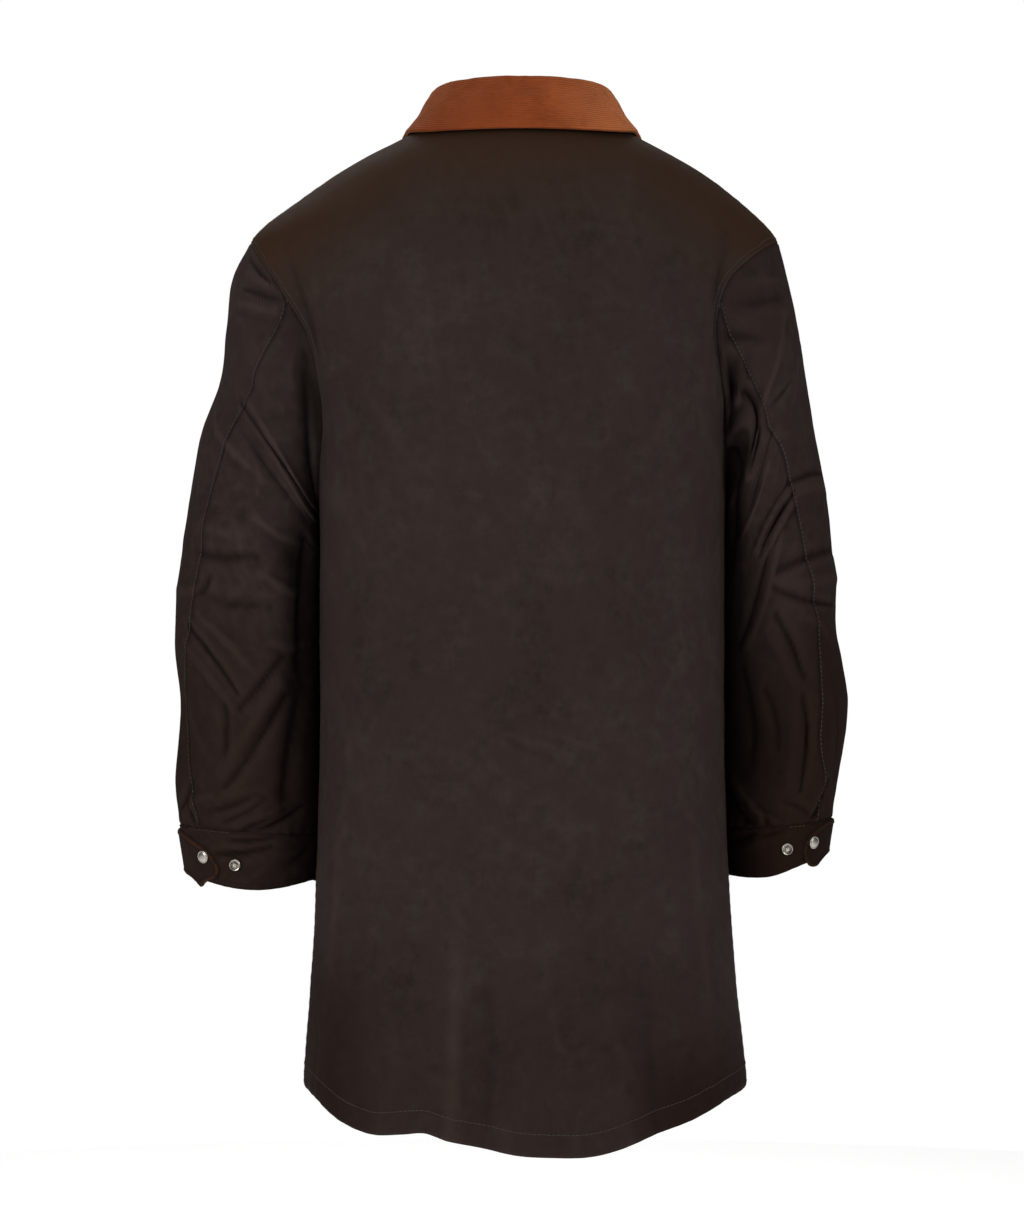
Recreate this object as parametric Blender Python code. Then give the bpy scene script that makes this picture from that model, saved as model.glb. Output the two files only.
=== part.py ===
"""Long waxed-cotton jacket with a turned-down corduroy collar, hollow and filled out as if worn.

Metres, +Z up. The front faces -Y and the wearer's left is +X. The origin is the middle of the neck
opening, level with the points where the shoulder seams meet the collar.
Angles round the body and the collar are counted from the centre back, positive towards the
wearer's left. Angles round a sleeve are counted from its outer side, positive towards the back.
"""

import math

import bmesh
import bpy
import numpy as np
from mathutils import Vector

# Cloth and seams
CLOTH = 0.0016
COLLAR_CLOTH = 0.0026
SEAM_GAP = 0.0004
STEP = 1e-4  # how far apart two points are when a slope is measured

# Body
HEM_AT_SIDE = -0.882
HEM_EASE = 0.16  # height over which the level rows turn into the hem's curve
NECK_DROP_FRONT = 0.066
NECK_DROP_POWER = 3
NECK_EASE_Z = -0.25  # the front's rows start to bend down to the neck above this height
FRONT_LAP = 0.020  # each front runs this far past the centre front
LAP_START = 0.090  # the upper front starts to rise this far before the centre front
LAP_EASE = 0.055
ARMHOLE_TOP = -0.106
ARMHOLE_BOTTOM = -0.345
ARMHOLE_BACK = {1: 0.062, -1: 0.070}  # how far each reaches towards the back
ARMHOLE_BACK_RISE = {1: 0.020, -1: 0.040}  # and how much more than that near the top
ARMHOLE_FRONT = 0.062
BODY_RADIUS = 0.17  # metres of cloth for each radian round the body

# Sleeves, cuffs and tabs
HIND_SEAM_COLUMNS = 5  # columns from the top of the armhole to the sleeve's back seam
FORE_SEAM_COLUMNS = 9  # columns from the top of the armhole to the sleeve's front seam
SLEEVE_RADIUS = 0.065  # metres of cloth for each radian round the sleeve
SLEEVE_LENGTH = 0.52
FOLD_FADE = 0.05  # share of the sleeve's length in which folds fade at its ends
CUFF_PROUD = 0.0007
TAB_CLOTH = 0.0022
TAB_START = math.radians(-38)
TAB_END = math.radians(64)
TAB_HEIGHT = 0.046
TAB_POINT = 0.026  # length of the tab's rounded point
TAB_TIP = 0.16  # share of the height that is left at the very tip
CUFF_RADIUS = 0.055
TAB_DROP = {1: 0.0265, -1: 0.0235}  # from the cuff's top down to the tab's middle
TAB_STUD = math.radians(51)
CUFF_STUD = math.radians(82)

# Press studs
CAP_STEPS = 12
FRONT_STUD_TOP = -0.150
FRONT_STUD_BOTTOM = -0.765
FRONT_STUDS = 6

# Collar
COLLAR_POINT_BACK = math.radians(9)  # the fall's front edge slopes back by this much
COLLAR_SEAT = 0.0007
COLLAR_SHARES = (0, 0.18, 0.29, 0.37, 0.48, 0.74, 1)  # where the section's points lie along it
ROLL_RISE = 0.006  # height of the roll over the stand
ROLL_FALL = 0.008  # height of the roll over the start of the fall
ROLL_TOP = 0.44  # share of the roll's width at which it is highest
FALL_START = 0.46  # where the fall and its wales start along the section
WALE = 0.0028
WALE_HEIGHT = 0.0005

# Grid
ROWS_BELOW_ARMHOLE = 9
ARMHOLE_STEPS = 28
ROWS_ABOVE_ARMHOLE = 5
BACK_COLUMNS = 18
FRONT_COLUMNS = 11
SLEEVE_ROWS = 20
CUFF_ROWS = 2
TAB_COLUMNS = 16
TAB_ROWS = 4
COLLAR_FRONT_COLUMNS = 9  # on each side, at the same angles as the front's columns
COLLAR_PLAIN_ROWS = 10
COLLAR_REVERSE_ROWS = 13
SHARP_ANGLE = math.radians(50)

WAXED_BROWN = (0.034, 0.025, 0.022, 1)
CORDUROY_TAN = (0.24, 0.062, 0.019, 1)
STUD_STEEL = (0.62, 0.58, 0.54, 1)


def read_table(columns, rows):
    """A table as one array for each named column."""
    return dict(zip(columns, np.array(rows, float).T))


# Level sections of the body, from below the hem up to the neck
BODY = read_table(
    ("z", "sway", "half_width", "back_depth", "front_depth", "squareness"),
    (
        (-0.960, -0.004, 0.2070, 0.160, 0.165, 2.10),
        (-0.880, -0.003, 0.2035, 0.156, 0.163, 2.15),
        (-0.760, -0.001, 0.1935, 0.149, 0.159, 2.25),
        (-0.620, 0.000, 0.1870, 0.140, 0.156, 2.30),
        (-0.480, 0.000, 0.1860, 0.134, 0.156, 2.35),
        (-0.350, 0.000, 0.1870, 0.140, 0.156, 2.45),
        (-0.250, 0.000, 0.1925, 0.147, 0.151, 2.35),
        (-0.200, 0.002, 0.2120, 0.147, 0.145, 2.12),
        (-0.155, 0.005, 0.2400, 0.144, 0.136, 1.94),
        (-0.125, 0.006, 0.2480, 0.140, 0.127, 1.88),
        (-0.106, 0.007, 0.2437, 0.137, 0.121, 1.86),
        (-0.067, 0.003, 0.2020, 0.128, 0.107, 1.86),
        (-0.034, 0.001, 0.1540, 0.113, 0.095, 1.92),
        (-0.012, 0.001, 0.1120, 0.097, 0.085, 1.97),
        (0.001, 0.000, 0.0880, 0.083, 0.078, 2.00),
    ),
)

# How far the hem hangs below its height at the sides, by the angle from the centre back.
# A fold draws it up on the left half of the back.
HEM = read_table(
    ("turn_deg", "drop"),
    (
        (-180, 0.0080),
        (-130, 0.0040),
        (-90, 0.0000),
        (-76, 0.0004),
        (-65, 0.0045),
        (-53, 0.0180),
        (-37, 0.0312),
        (-21, 0.0426),
        (-8, 0.0431),
        (3, 0.0415),
        (15, 0.0351),
        (25, 0.0285),
        (31, 0.0236),
        (39, 0.0261),
        (48, 0.0282),
        (59, 0.0199),
        (69, 0.0052),
        (78, 0.0004),
        (90, 0.0000),
        (130, 0.0040),
        (180, 0.0080),
    ),
)

# Sections of each sleeve after the armhole: the outer and inner ends, and the depth from front to back
SLEEVE_COLUMNS = ("outer_x", "outer_z", "inner_x", "inner_z", "half_depth", "centre_y")
SLEEVES = {
    1: read_table(
        SLEEVE_COLUMNS,
        (
            (0.2680, -0.140, 0.1915, -0.353, 0.070, -0.001),
            (0.2740, -0.186, 0.1925, -0.366, 0.075, -0.004),
            (0.2800, -0.232, 0.1925, -0.384, 0.078, -0.008),
            (0.2985, -0.282, 0.1920, -0.407, 0.079, -0.012),
            (0.3100, -0.345, 0.1910, -0.440, 0.077, -0.016),
            (0.3200, -0.415, 0.1905, -0.486, 0.074, -0.020),
            (0.3235, -0.475, 0.1900, -0.530, 0.071, -0.024),
            (0.3185, -0.535, 0.1900, -0.575, 0.068, -0.028),
            (0.3235, -0.600, 0.1905, -0.622, 0.064, -0.032),
            (0.3190, -0.644, 0.1910, -0.653, 0.058, -0.034),
            (0.3110, -0.695, 0.1915, -0.700, 0.053, -0.036),
        ),
    ),
    -1: read_table(
        SLEEVE_COLUMNS,
        (
            (0.2470, -0.145, 0.1915, -0.353, 0.076, -0.001),
            (0.2575, -0.195, 0.1925, -0.366, 0.080, -0.004),
            (0.2650, -0.240, 0.1925, -0.384, 0.083, -0.008),
            (0.2730, -0.285, 0.1920, -0.407, 0.083, -0.012),
            (0.2840, -0.345, 0.1910, -0.440, 0.081, -0.016),
            (0.2920, -0.415, 0.1905, -0.486, 0.078, -0.020),
            (0.2930, -0.462, 0.1900, -0.525, 0.076, -0.024),
            (0.3040, -0.530, 0.1900, -0.570, 0.073, -0.028),
            (0.2955, -0.598, 0.1905, -0.617, 0.069, -0.032),
            (0.2885, -0.638, 0.1910, -0.647, 0.063, -0.034),
            (0.2815, -0.684, 0.1915, -0.692, 0.058, -0.036),
        ),
    ),
}

# The seam behind each arm: its angle round the sleeve, by share of the sleeve's length
HIND_SEAM = read_table(
    ("share", "left_deg", "right_deg"),
    (
        (0.00, 64.3, 64.3),
        (0.06, 69, 84),
        (0.14, 66, 89),
        (0.25, 61, 80),
        (0.36, 56, 73),
        (0.47, 44, 66),
        (0.58, 38, 54),
        (0.70, 36, 56),
        (0.80, 40, 50),
        (0.92, 43, 46),
    ),
)

# Largest folds of the body: from and to, as an angle from the centre back and a height
BODY_FOLDS = read_table(
    ("from_deg", "from_z", "to_deg", "to_z", "width", "height"),
    (
        (25, -0.930, 22, -0.740, 0.020, 0.0060),
        (38, -0.930, 33, -0.700, 0.026, -0.0050),
        (-44, -0.930, -40, -0.720, 0.030, -0.0050),
        (-62, -0.930, -57, -0.640, 0.026, 0.0050),
        (66, -0.930, 60, -0.600, 0.028, 0.0045),
        (128, -0.930, 124, -0.560, 0.030, 0.0060),
        (-126, -0.930, -121, -0.600, 0.030, 0.0060),
        (150, -0.930, 149, -0.640, 0.028, -0.0050),
        (-152, -0.930, -150, -0.620, 0.028, -0.0050),
    ),
)

# Largest folds of each sleeve: from and to, as an angle round it and a share of its length
FOLD_COLUMNS = ("from_deg", "from_share", "to_deg", "to_share", "width", "height")
SLEEVE_FOLDS = {
    1: read_table(
        FOLD_COLUMNS,
        (
            (60, 0.230, 142, 0.100, 0.016, 0.0070),
            (104, 0.050, 140, 0.120, 0.015, -0.0080),
            (100, 0.370, 170, 0.400, 0.018, -0.0090),
            (28, 0.490, 90, 0.460, 0.012, 0.0050),
            (44, 0.600, 84, 0.655, 0.012, -0.0060),
            (143, 0.560, 88, 0.690, 0.015, 0.0070),
            (122, 0.645, 76, 0.810, 0.012, -0.0070),
            (135, 0.800, 92, 0.880, 0.012, 0.0050),
            (-36, 0.330, -104, 0.230, 0.017, 0.0065),
            (-96, 0.420, -150, 0.380, 0.018, -0.0080),
            (-28, 0.520, -88, 0.470, 0.014, -0.0060),
            (-112, 0.580, -52, 0.690, 0.015, 0.0065),
            (-100, 0.720, -44, 0.830, 0.013, -0.0060),
        ),
    ),
    -1: read_table(
        FOLD_COLUMNS,
        (
            (76, 0.050, 96, 0.030, 0.012, 0.0060),
            (112, 0.040, 126, 0.190, 0.015, -0.0090),
            (66, 0.375, 116, 0.405, 0.012, 0.0065),
            (88, 0.470, 12, 0.510, 0.012, -0.0055),
            (104, 0.490, 20, 0.585, 0.012, 0.0050),
            (84, 0.400, 130, 0.520, 0.013, 0.0060),
            (92, 0.550, 70, 0.660, 0.013, -0.0060),
            (80, 0.700, 72, 0.830, 0.013, -0.0065),
            (168, 0.780, 122, 0.890, 0.014, -0.0050),
            (-40, 0.340, -108, 0.250, 0.017, 0.0065),
            (-92, 0.430, -148, 0.400, 0.018, -0.0080),
            (-24, 0.550, -84, 0.500, 0.014, -0.0060),
            (-116, 0.600, -56, 0.700, 0.015, 0.0065),
            (-96, 0.740, -40, 0.840, 0.013, -0.0060),
        ),
    ),
}

# Collar sections from the centre back to the front end
COLLAR = read_table(
    ("turn_deg", "stand", "lean", "roll_width", "edge_drop", "edge_clear", "bulge"),
    (
        (0, 0.0350, -0.0020, 0.0120, 0.0545, 0.0060, 0.0030),
        (45, 0.0345, -0.0060, 0.0120, 0.0520, 0.0040, 0.0010),
        (90, 0.0315, -0.0115, 0.0120, 0.0410, 0.0014, -0.0015),
        (120, 0.0290, -0.0080, 0.0120, 0.0520, 0.0025, 0.0020),
        (150, 0.0260, -0.0050, 0.0120, 0.0680, 0.0040, 0.0040),
        (180, 0.0230, -0.0020, 0.0120, 0.0780, 0.0050, 0.0045),
    ),
)

# Turned outlines of a press stud's cap and of the open stud on a cuff, down the outer side
CAP_OUTLINE = read_table(
    ("radius", "height"),
    ((0.0, 0.0021), (0.0036, 0.0018), (0.0060, 0.0008), (0.0060, 0.0), (0.0, 0.0)),
)
OPEN_STUD_OUTLINE = read_table(
    ("radius", "height"),
    (
        (0.0, 0.0026),
        (0.0022, 0.0026),
        (0.0022, 0.0010),
        (0.0042, 0.0010),
        (0.0046, 0.0016),
        (0.0056, 0.0012),
        (0.0058, 0.0),
        (0.0, 0.0),
    ),
)


def smooth_at(keys, values, where):
    """Values read between keys, on a smooth curve through them."""
    where = np.asarray(where, float)
    values = np.asarray(values, float)
    step = np.diff(keys)
    wide = step.reshape((-1,) + (1,) * (values.ndim - 1))
    rise = np.diff(values, axis=0) / wide
    middle = (rise[:-1] * wide[1:] + rise[1:] * wide[:-1]) / (wide[:-1] + wide[1:])
    slope = np.concatenate([rise[:1], middle, rise[-1:]])
    i = np.clip(np.searchsorted(keys, where, "right") - 1, 0, len(keys) - 2)

    def pick(array, index):
        if array.ndim == 1:
            return array[index]
        return np.take_along_axis(array, index[None], axis=0)[0]

    long = step[i]
    s = (where - np.asarray(keys)[i]) / long
    start, end = pick(values, i), pick(values, i + 1)
    start_slope, end_slope = pick(slope, i) * long, pick(slope, i + 1) * long
    return (
        start * (1 + 2 * s) * (1 - s) ** 2
        + start_slope * s * (1 - s) ** 2
        + end * s**2 * (3 - 2 * s)
        + end_slope * s**2 * (s - 1)
    )


def ease(value):
    """0 below 0 and 1 above 1, with a soft start and end."""
    value = np.clip(value, 0, 1)
    return value * value * (3 - 2 * value)


def unit(vectors):
    return vectors / np.maximum(np.linalg.norm(vectors, axis=-1, keepdims=True), 1e-12)


def fold_height(from_a, from_b, to_a, to_b, width, height, a, b):
    """Height of one fold at (a, b), both in metres on the cloth: a soft ridge along a line."""
    run_a, run_b = to_a - from_a, to_b - from_b
    share = ((a - from_a) * run_a + (b - from_b) * run_b) / (run_a**2 + run_b**2)
    share = np.clip(share, 0, 1)
    away = np.hypot(a - from_a - share * run_a, b - from_b - share * run_b)
    return height * np.exp(-((away / width) ** 2))


# Body surface


def body_section(z):
    return {name: smooth_at(BODY["z"], BODY[name], z) for name in BODY if name != "z"}


def body_fold_height(angle, z):
    total = np.zeros(np.broadcast(angle, z).shape)
    for k in range(len(BODY_FOLDS["width"])):
        fold = {name: BODY_FOLDS[name][k] for name in BODY_FOLDS}
        total += fold_height(
            math.radians(fold["from_deg"]) * BODY_RADIUS,
            fold["from_z"],
            math.radians(fold["to_deg"]) * BODY_RADIUS,
            fold["to_z"],
            fold["width"],
            fold["height"],
            angle * BODY_RADIUS,
            z,
        )
    return total


def body_reach(angle, z):
    """Distance from the body's axis to its smooth surface, at an angle from the centre back."""
    section = body_section(z)
    depth = np.where(np.cos(angle) >= 0, section["back_depth"], section["front_depth"])
    power = section["squareness"]
    across = np.abs(np.sin(angle) / section["half_width"]) ** power
    along = np.abs(np.cos(angle) / depth) ** power
    return (across + along) ** (-1 / power)


def body_point(angle, z):
    """Points of the body's outer surface, folds included."""
    angle, z = np.broadcast_arrays(angle, z)
    reach = body_reach(angle, z) + body_fold_height(angle, z)
    sway = body_section(z)["sway"]
    return np.stack([sway + reach * np.sin(angle), reach * np.cos(angle), z], axis=-1)


def body_normal(angle, z):
    round_it = body_point(angle + STEP, z) - body_point(angle - STEP, z)
    up = body_point(angle, z + STEP) - body_point(angle, z - STEP)
    return unit(np.cross(up, round_it))


def neck_level(angle):
    return -NECK_DROP_FRONT * np.maximum(0, -np.cos(angle)) ** NECK_DROP_POWER


def hem_z(angle):
    turn = np.clip(np.degrees(angle), -180, 180)
    return HEM_AT_SIDE - smooth_at(HEM["turn_deg"], HEM["drop"], turn)


# Armholes


def armhole_turns():
    """Angles round an armhole, from its top towards the back."""
    return np.arange(ARMHOLE_STEPS) * 2 * math.pi / ARMHOLE_STEPS


def armhole_level(turn):
    middle = (ARMHOLE_TOP + ARMHOLE_BOTTOM) / 2
    return middle + (ARMHOLE_TOP - ARMHOLE_BOTTOM) / 2 * np.cos(turn)


def armhole_angle(side, turn):
    """Angle from the centre back, without its sign, of the armhole's edge."""
    section = body_section(armhole_level(turn))
    behind = ARMHOLE_BACK[side] + ARMHOLE_BACK_RISE[side] * np.cos(turn)
    y = np.where(np.sin(turn) >= 0, behind, ARMHOLE_FRONT) * np.sin(turn)
    depth = np.where(y >= 0, section["back_depth"], section["front_depth"])
    power = section["squareness"]
    x = section["half_width"] * (1 - np.abs(y / depth) ** power) ** (1 / power)
    return np.arctan2(x, y)


def armhole_point(side, turn):
    return body_point(side * armhole_angle(side, turn), armhole_level(turn))


# Sleeve surface


def sleeve_keys(side):
    return np.linspace(0, 1, len(SLEEVES[side]["outer_x"]) + 1)


def cuff_share(side):
    """Share of the sleeve's length at which the cuff starts."""
    return sleeve_keys(side)[-2]


def sleeve_rings(side, turn):
    """Points at the same angle on the armhole and on every section of the sleeve."""
    rings = [armhole_point(side, turn)]
    table = SLEEVES[side]
    for k in range(len(table["outer_x"])):
        ring = {name: table[name][k] for name in SLEEVE_COLUMNS}
        middle_x = (ring["outer_x"] + ring["inner_x"]) / 2
        middle_z = (ring["outer_z"] + ring["inner_z"]) / 2
        out = np.cos(turn)
        x = side * (middle_x + (ring["outer_x"] - ring["inner_x"]) / 2 * out)
        y = ring["centre_y"] + ring["half_depth"] * np.sin(turn)
        z = middle_z + (ring["outer_z"] - ring["inner_z"]) / 2 * out
        rings.append(np.stack([x, y, z], axis=-1))
    return np.stack(rings)


def sleeve_fold_height(side, turn, share):
    turn = (turn + math.pi) % (2 * math.pi) - math.pi
    folds = SLEEVE_FOLDS[side]
    total = np.zeros(np.broadcast(turn, share).shape)
    for k in range(len(folds["width"])):
        fold = {name: folds[name][k] for name in FOLD_COLUMNS}
        total += fold_height(
            math.radians(fold["from_deg"]) * SLEEVE_RADIUS,
            fold["from_share"] * SLEEVE_LENGTH,
            math.radians(fold["to_deg"]) * SLEEVE_RADIUS,
            fold["to_share"] * SLEEVE_LENGTH,
            fold["width"],
            fold["height"],
            turn * SLEEVE_RADIUS,
            share * SLEEVE_LENGTH,
        )
    last = cuff_share(side)
    return total * ease(share / FOLD_FADE) * ease((last - share) / FOLD_FADE)


def sleeve_point(side, turn, share):
    """Points of the sleeve's outer surface, from the armhole (share 0) to the cuff's end (share 1)."""
    turn, share = np.broadcast_arrays(turn, share)
    share_xyz = np.repeat(share[..., None], 3, axis=-1)
    keys = sleeve_keys(side)
    point = smooth_at(keys, sleeve_rings(side, turn), share_xyz)
    opposite = smooth_at(keys, sleeve_rings(side, turn + math.pi), share_xyz)
    return point + sleeve_fold_height(side, turn, share)[..., None] * unit(point - opposite)


def sleeve_normal(side, turn, share):
    round_it = sleeve_point(side, turn + STEP, share) - sleeve_point(side, turn - STEP, share)
    down = sleeve_point(side, turn, share + STEP) - sleeve_point(side, turn, share - STEP)
    return side * unit(np.cross(down, round_it))


def armhole_seam(side, turn):
    """The shared edge of body and sleeve: its points, the way across it, and where each wall faces.

    Both walls face the same way where the seam stands out, so that their insides don't cross.
    """
    point = armhole_point(side, turn)
    along = armhole_point(side, turn + STEP) - armhole_point(side, turn - STEP)
    body = body_normal(side * armhole_angle(side, turn), armhole_level(turn))
    sleeve = sleeve_normal(side, turn, np.zeros_like(turn))
    mitre = unit(body + sleeve)
    across = unit(np.cross(mitre, along))
    down = sleeve_point(side, turn, np.full_like(turn, STEP)) - point
    across *= np.sign((across * down).sum(-1, keepdims=True))
    sunk = (body * down).sum(-1, keepdims=True) > 0
    return point, across, np.where(sunk, body, mitre), np.where(sunk, sleeve, mitre)


# Meshes


def plain_material(name, colour, roughness, metallic=0.0):
    material = bpy.data.materials.new(name)
    material.use_nodes = True
    shader = material.node_tree.nodes["Principled BSDF"]
    shader.inputs["Base Color"].default_value = colour
    shader.inputs["Roughness"].default_value = roughness
    shader.inputs["Metallic"].default_value = metallic
    return material


def add_object(name, mesh, material, parent):
    mesh.materials.append(material)
    mesh.shade_smooth()
    mesh.set_sharp_from_angle(angle=SHARP_ANGLE)
    thing = bpy.data.objects.new(name, mesh)
    bpy.context.scene.collection.objects.link(thing)
    thing.parent = parent
    return thing


def mesh_from(name, build):
    """A mesh whose faces point out, filled by a function that takes an empty bmesh."""
    shape = bmesh.new()
    build(shape)
    bmesh.ops.recalc_face_normals(shape, faces=shape.faces)
    mesh = bpy.data.meshes.new(name)
    shape.to_mesh(mesh)
    shape.free()
    return mesh


def skin(shape, grid, closed):
    """Faces over a grid of points. Gives its vertices, row by row."""
    verts = [[shape.verts.new(point) for point in row] for row in grid]
    count = len(verts[0])
    for low, high in zip(verts, verts[1:]):
        for j in range(count if closed else count - 1):
            k = (j + 1) % count
            shape.faces.new((low[j], low[k], high[k], high[j]))
    return verts


def strip(shape, first, second, closed=False):
    """Faces between two lines of as many vertices."""
    count = len(first)
    for j in range(count if closed else count - 1):
        k = (j + 1) % count
        shape.faces.new((first[j], first[k], second[k], second[j]))


def wall(outer, inner, closed=False):
    """A build function for cloth between two grids of points, rims included."""

    def build(shape):
        out, back = skin(shape, outer, closed), skin(shape, inner, closed)
        strip(shape, out[0], back[0], closed)
        strip(shape, out[-1], back[-1], closed)
        if not closed:
            strip(shape, [row[0] for row in out], [row[0] for row in back])
            strip(shape, [row[-1] for row in out], [row[-1] for row in back])

    return build


# Body panels


def body_levels():
    """Heights of the rows, hem to neck. Those beside an armhole meet the sleeve's columns."""
    half = armhole_turns()[: ARMHOLE_STEPS // 2 + 1]
    low = np.linspace(HEM_AT_SIDE, ARMHOLE_BOTTOM, ROWS_BELOW_ARMHOLE, endpoint=False)
    high = np.linspace(ARMHOLE_TOP, 0, ROWS_ABOVE_ARMHOLE + 1)[1:]
    return np.concatenate([low, armhole_level(half)[::-1], high])


def body_wall(side_of_column, angle_of, level_of):
    """Outer and inner grids of a body panel, mitred where its side edges meet a sleeve.

    side_of_column says which edge columns are at an armhole: {column: (side, towards the back or front)}.
    """
    outer = body_point(angle_of, level_of)
    inward = body_normal(angle_of, level_of)
    for column, (side, towards) in side_of_column.items():
        turns = armhole_turns()[: ARMHOLE_STEPS // 2 + 1][::-1] * towards
        rows = slice(ROWS_BELOW_ARMHOLE, ROWS_BELOW_ARMHOLE + len(turns))
        point, across, facing, _ = armhole_seam(side, turns)
        point[[0, -1], 1] += towards * SEAM_GAP / 2
        outer[rows, column] = point - across * SEAM_GAP / 2
        inward[rows, column] = facing
    return outer, outer - inward * CLOTH


def edge_angles(side, towards):
    """Angle of a panel's side edge at every level, short of the seam by half its gap."""
    levels = body_levels()
    edge = np.full(len(levels), math.pi / 2)
    turns = armhole_turns()[: ARMHOLE_STEPS // 2 + 1][::-1] * towards
    edge[ROWS_BELOW_ARMHOLE : ROWS_BELOW_ARMHOLE + len(turns)] = armhole_angle(side, turns)
    gap = SEAM_GAP / 2 / body_reach(edge, levels)
    return edge - towards * gap


def to_hem(levels, angle):
    """Levels with the lowest rows turned into the hem's curve."""
    share = 1 - ease((levels - HEM_AT_SIDE) / HEM_EASE)
    return levels + (hem_z(angle) - HEM_AT_SIDE) * share


def back_panel():
    levels = body_levels()[:, None]
    across = np.linspace(-1, 1, BACK_COLUMNS + 1)[None, :]
    edge = np.where(across > 0, edge_angles(1, 1)[:, None], edge_angles(-1, 1)[:, None])
    angle = across * edge
    level = to_hem(np.broadcast_to(levels, angle.shape), angle)
    return body_wall({0: (-1, 1), BACK_COLUMNS: (1, 1)}, angle, level)


def front_end(level):
    """Angle from the centre back at which a front ends, past the centre front."""
    return math.pi + FRONT_LAP / body_section(level)["front_depth"]


def front_panel(side):
    """The wearer's left (1) or right (-1) front. The left one laps over the right one."""
    levels = body_levels()[:, None]
    across = np.linspace(0, 1, FRONT_COLUMNS + 1)[None, :]
    bend = np.clip((levels - NECK_EASE_Z) / -NECK_EASE_Z, 0, 1)
    edge = edge_angles(side, -1)[:, None]
    angle = edge + across * (front_end(levels - NECK_DROP_FRONT * bend) - edge)
    level = to_hem(np.broadcast_to(levels, angle.shape), angle)
    level = level + bend * neck_level(np.minimum(angle[-1:], math.pi))
    outer, inner = body_wall({0: (side, -1)}, side * angle, level)
    if side > 0:
        over = (angle - math.pi) * body_reach(angle, level) + LAP_START
        lift = ease(over / LAP_EASE)[..., None] * (CLOTH + 2 * SEAM_GAP)
        move = lift * unit((outer - inner) * (1, 1, 0))
        outer, inner = outer + move, inner + move
    return outer, inner


# Sleeves, cuffs and tabs


def sleeve_shares(side):
    return np.linspace(0, cuff_share(side), SLEEVE_ROWS + 1)


def sleeve_panel(side, upper):
    """The top sleeve, over the outer side, or the under sleeve, towards the body."""
    step = 2 * math.pi / ARMHOLE_STEPS
    share = sleeve_shares(side)[:, None]
    name = "left_deg" if side > 0 else "right_deg"
    hind = np.radians(smooth_at(HIND_SEAM["share"], HIND_SEAM[name], share))
    hind[0] = HIND_SEAM_COLUMNS * step
    fore = np.full_like(share, -FORE_SEAM_COLUMNS * step)
    if upper:
        first, last, columns = fore, hind, HIND_SEAM_COLUMNS + FORE_SEAM_COLUMNS
    else:
        first, last = hind, fore + 2 * math.pi
        columns = ARMHOLE_STEPS - HIND_SEAM_COLUMNS - FORE_SEAM_COLUMNS
    across = np.linspace(0, 1, columns + 1)[None, :]
    turn = first + across * (last - first)
    share = np.broadcast_to(share, turn.shape)
    outer = sleeve_point(side, turn, share)
    inward = sleeve_normal(side, turn, share)
    point, to_sleeve, _, facing = armhole_seam(side, turn[0])
    outer[0] = point + to_sleeve * SEAM_GAP / 2
    inward[0] = facing
    for column, neighbour in ((0, 1), (-1, -2)):
        away = unit(outer[:, neighbour] - outer[:, column])
        outer[:, column] += away * SEAM_GAP / 2
    return outer, outer - inward * CLOTH


def cuff_band(side):
    turn = armhole_turns()[None, :]
    start = cuff_share(side)
    share = np.linspace(start, 1, CUFF_ROWS + 1)[:, None]
    gap = np.array([SEAM_GAP, 0, 0]).reshape(-1, 1, 1)
    turn, share = np.broadcast_arrays(turn, share)
    normal = sleeve_normal(side, turn, share)
    down = unit(sleeve_point(side, turn, share + STEP) - sleeve_point(side, turn, share))
    outer = sleeve_point(side, turn, share) + normal * CUFF_PROUD + down * gap
    return outer, outer - normal * (CLOTH + CUFF_PROUD)


def on_cuff(side, turn, drop, lift):
    """Points over the cuff: an angle round it, a distance below its top and a height off its face."""
    start = cuff_share(side)
    top = sleeve_point(side, turn, np.full_like(turn, start))
    end = sleeve_point(side, turn, np.ones_like(turn))
    share = start + (1 - start) * drop / np.linalg.norm(end - top, axis=-1)
    normal = sleeve_normal(side, turn, share)
    return sleeve_point(side, turn, share) + normal * lift, normal


def cuff_tab(side):
    """A strap round the outer side of the cuff, with a rounded point at its back end."""
    length = (TAB_END - TAB_START) * CUFF_RADIUS
    along = length * np.sin(np.linspace(0, math.pi / 2, TAB_COLUMNS + 1))[None, :]
    from_point = np.clip((length - along) / TAB_POINT, 0, 1)
    half = TAB_HEIGHT / 2 * (TAB_TIP + (1 - TAB_TIP) * np.sqrt(1 - (1 - from_point) ** 2))
    across = np.linspace(-1, 1, TAB_ROWS + 1)[:, None]
    drop = TAB_DROP[side] + across * half
    turn = np.broadcast_to(TAB_START + along / CUFF_RADIUS, drop.shape)
    bottom = CUFF_PROUD + SEAM_GAP
    outer, _ = on_cuff(side, turn, drop, bottom + TAB_CLOTH)
    inner, _ = on_cuff(side, turn, drop, bottom)
    return outer, inner


# Collar


def off_body(angle, z, lift):
    """Radius and height of points off the body, square to its outline at their angle."""
    reach = body_reach(angle, z)
    slope = (body_reach(angle, z + STEP) - reach) / STEP
    scale = lift / np.hypot(1, slope)
    return reach + scale, z - slope * scale


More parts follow.
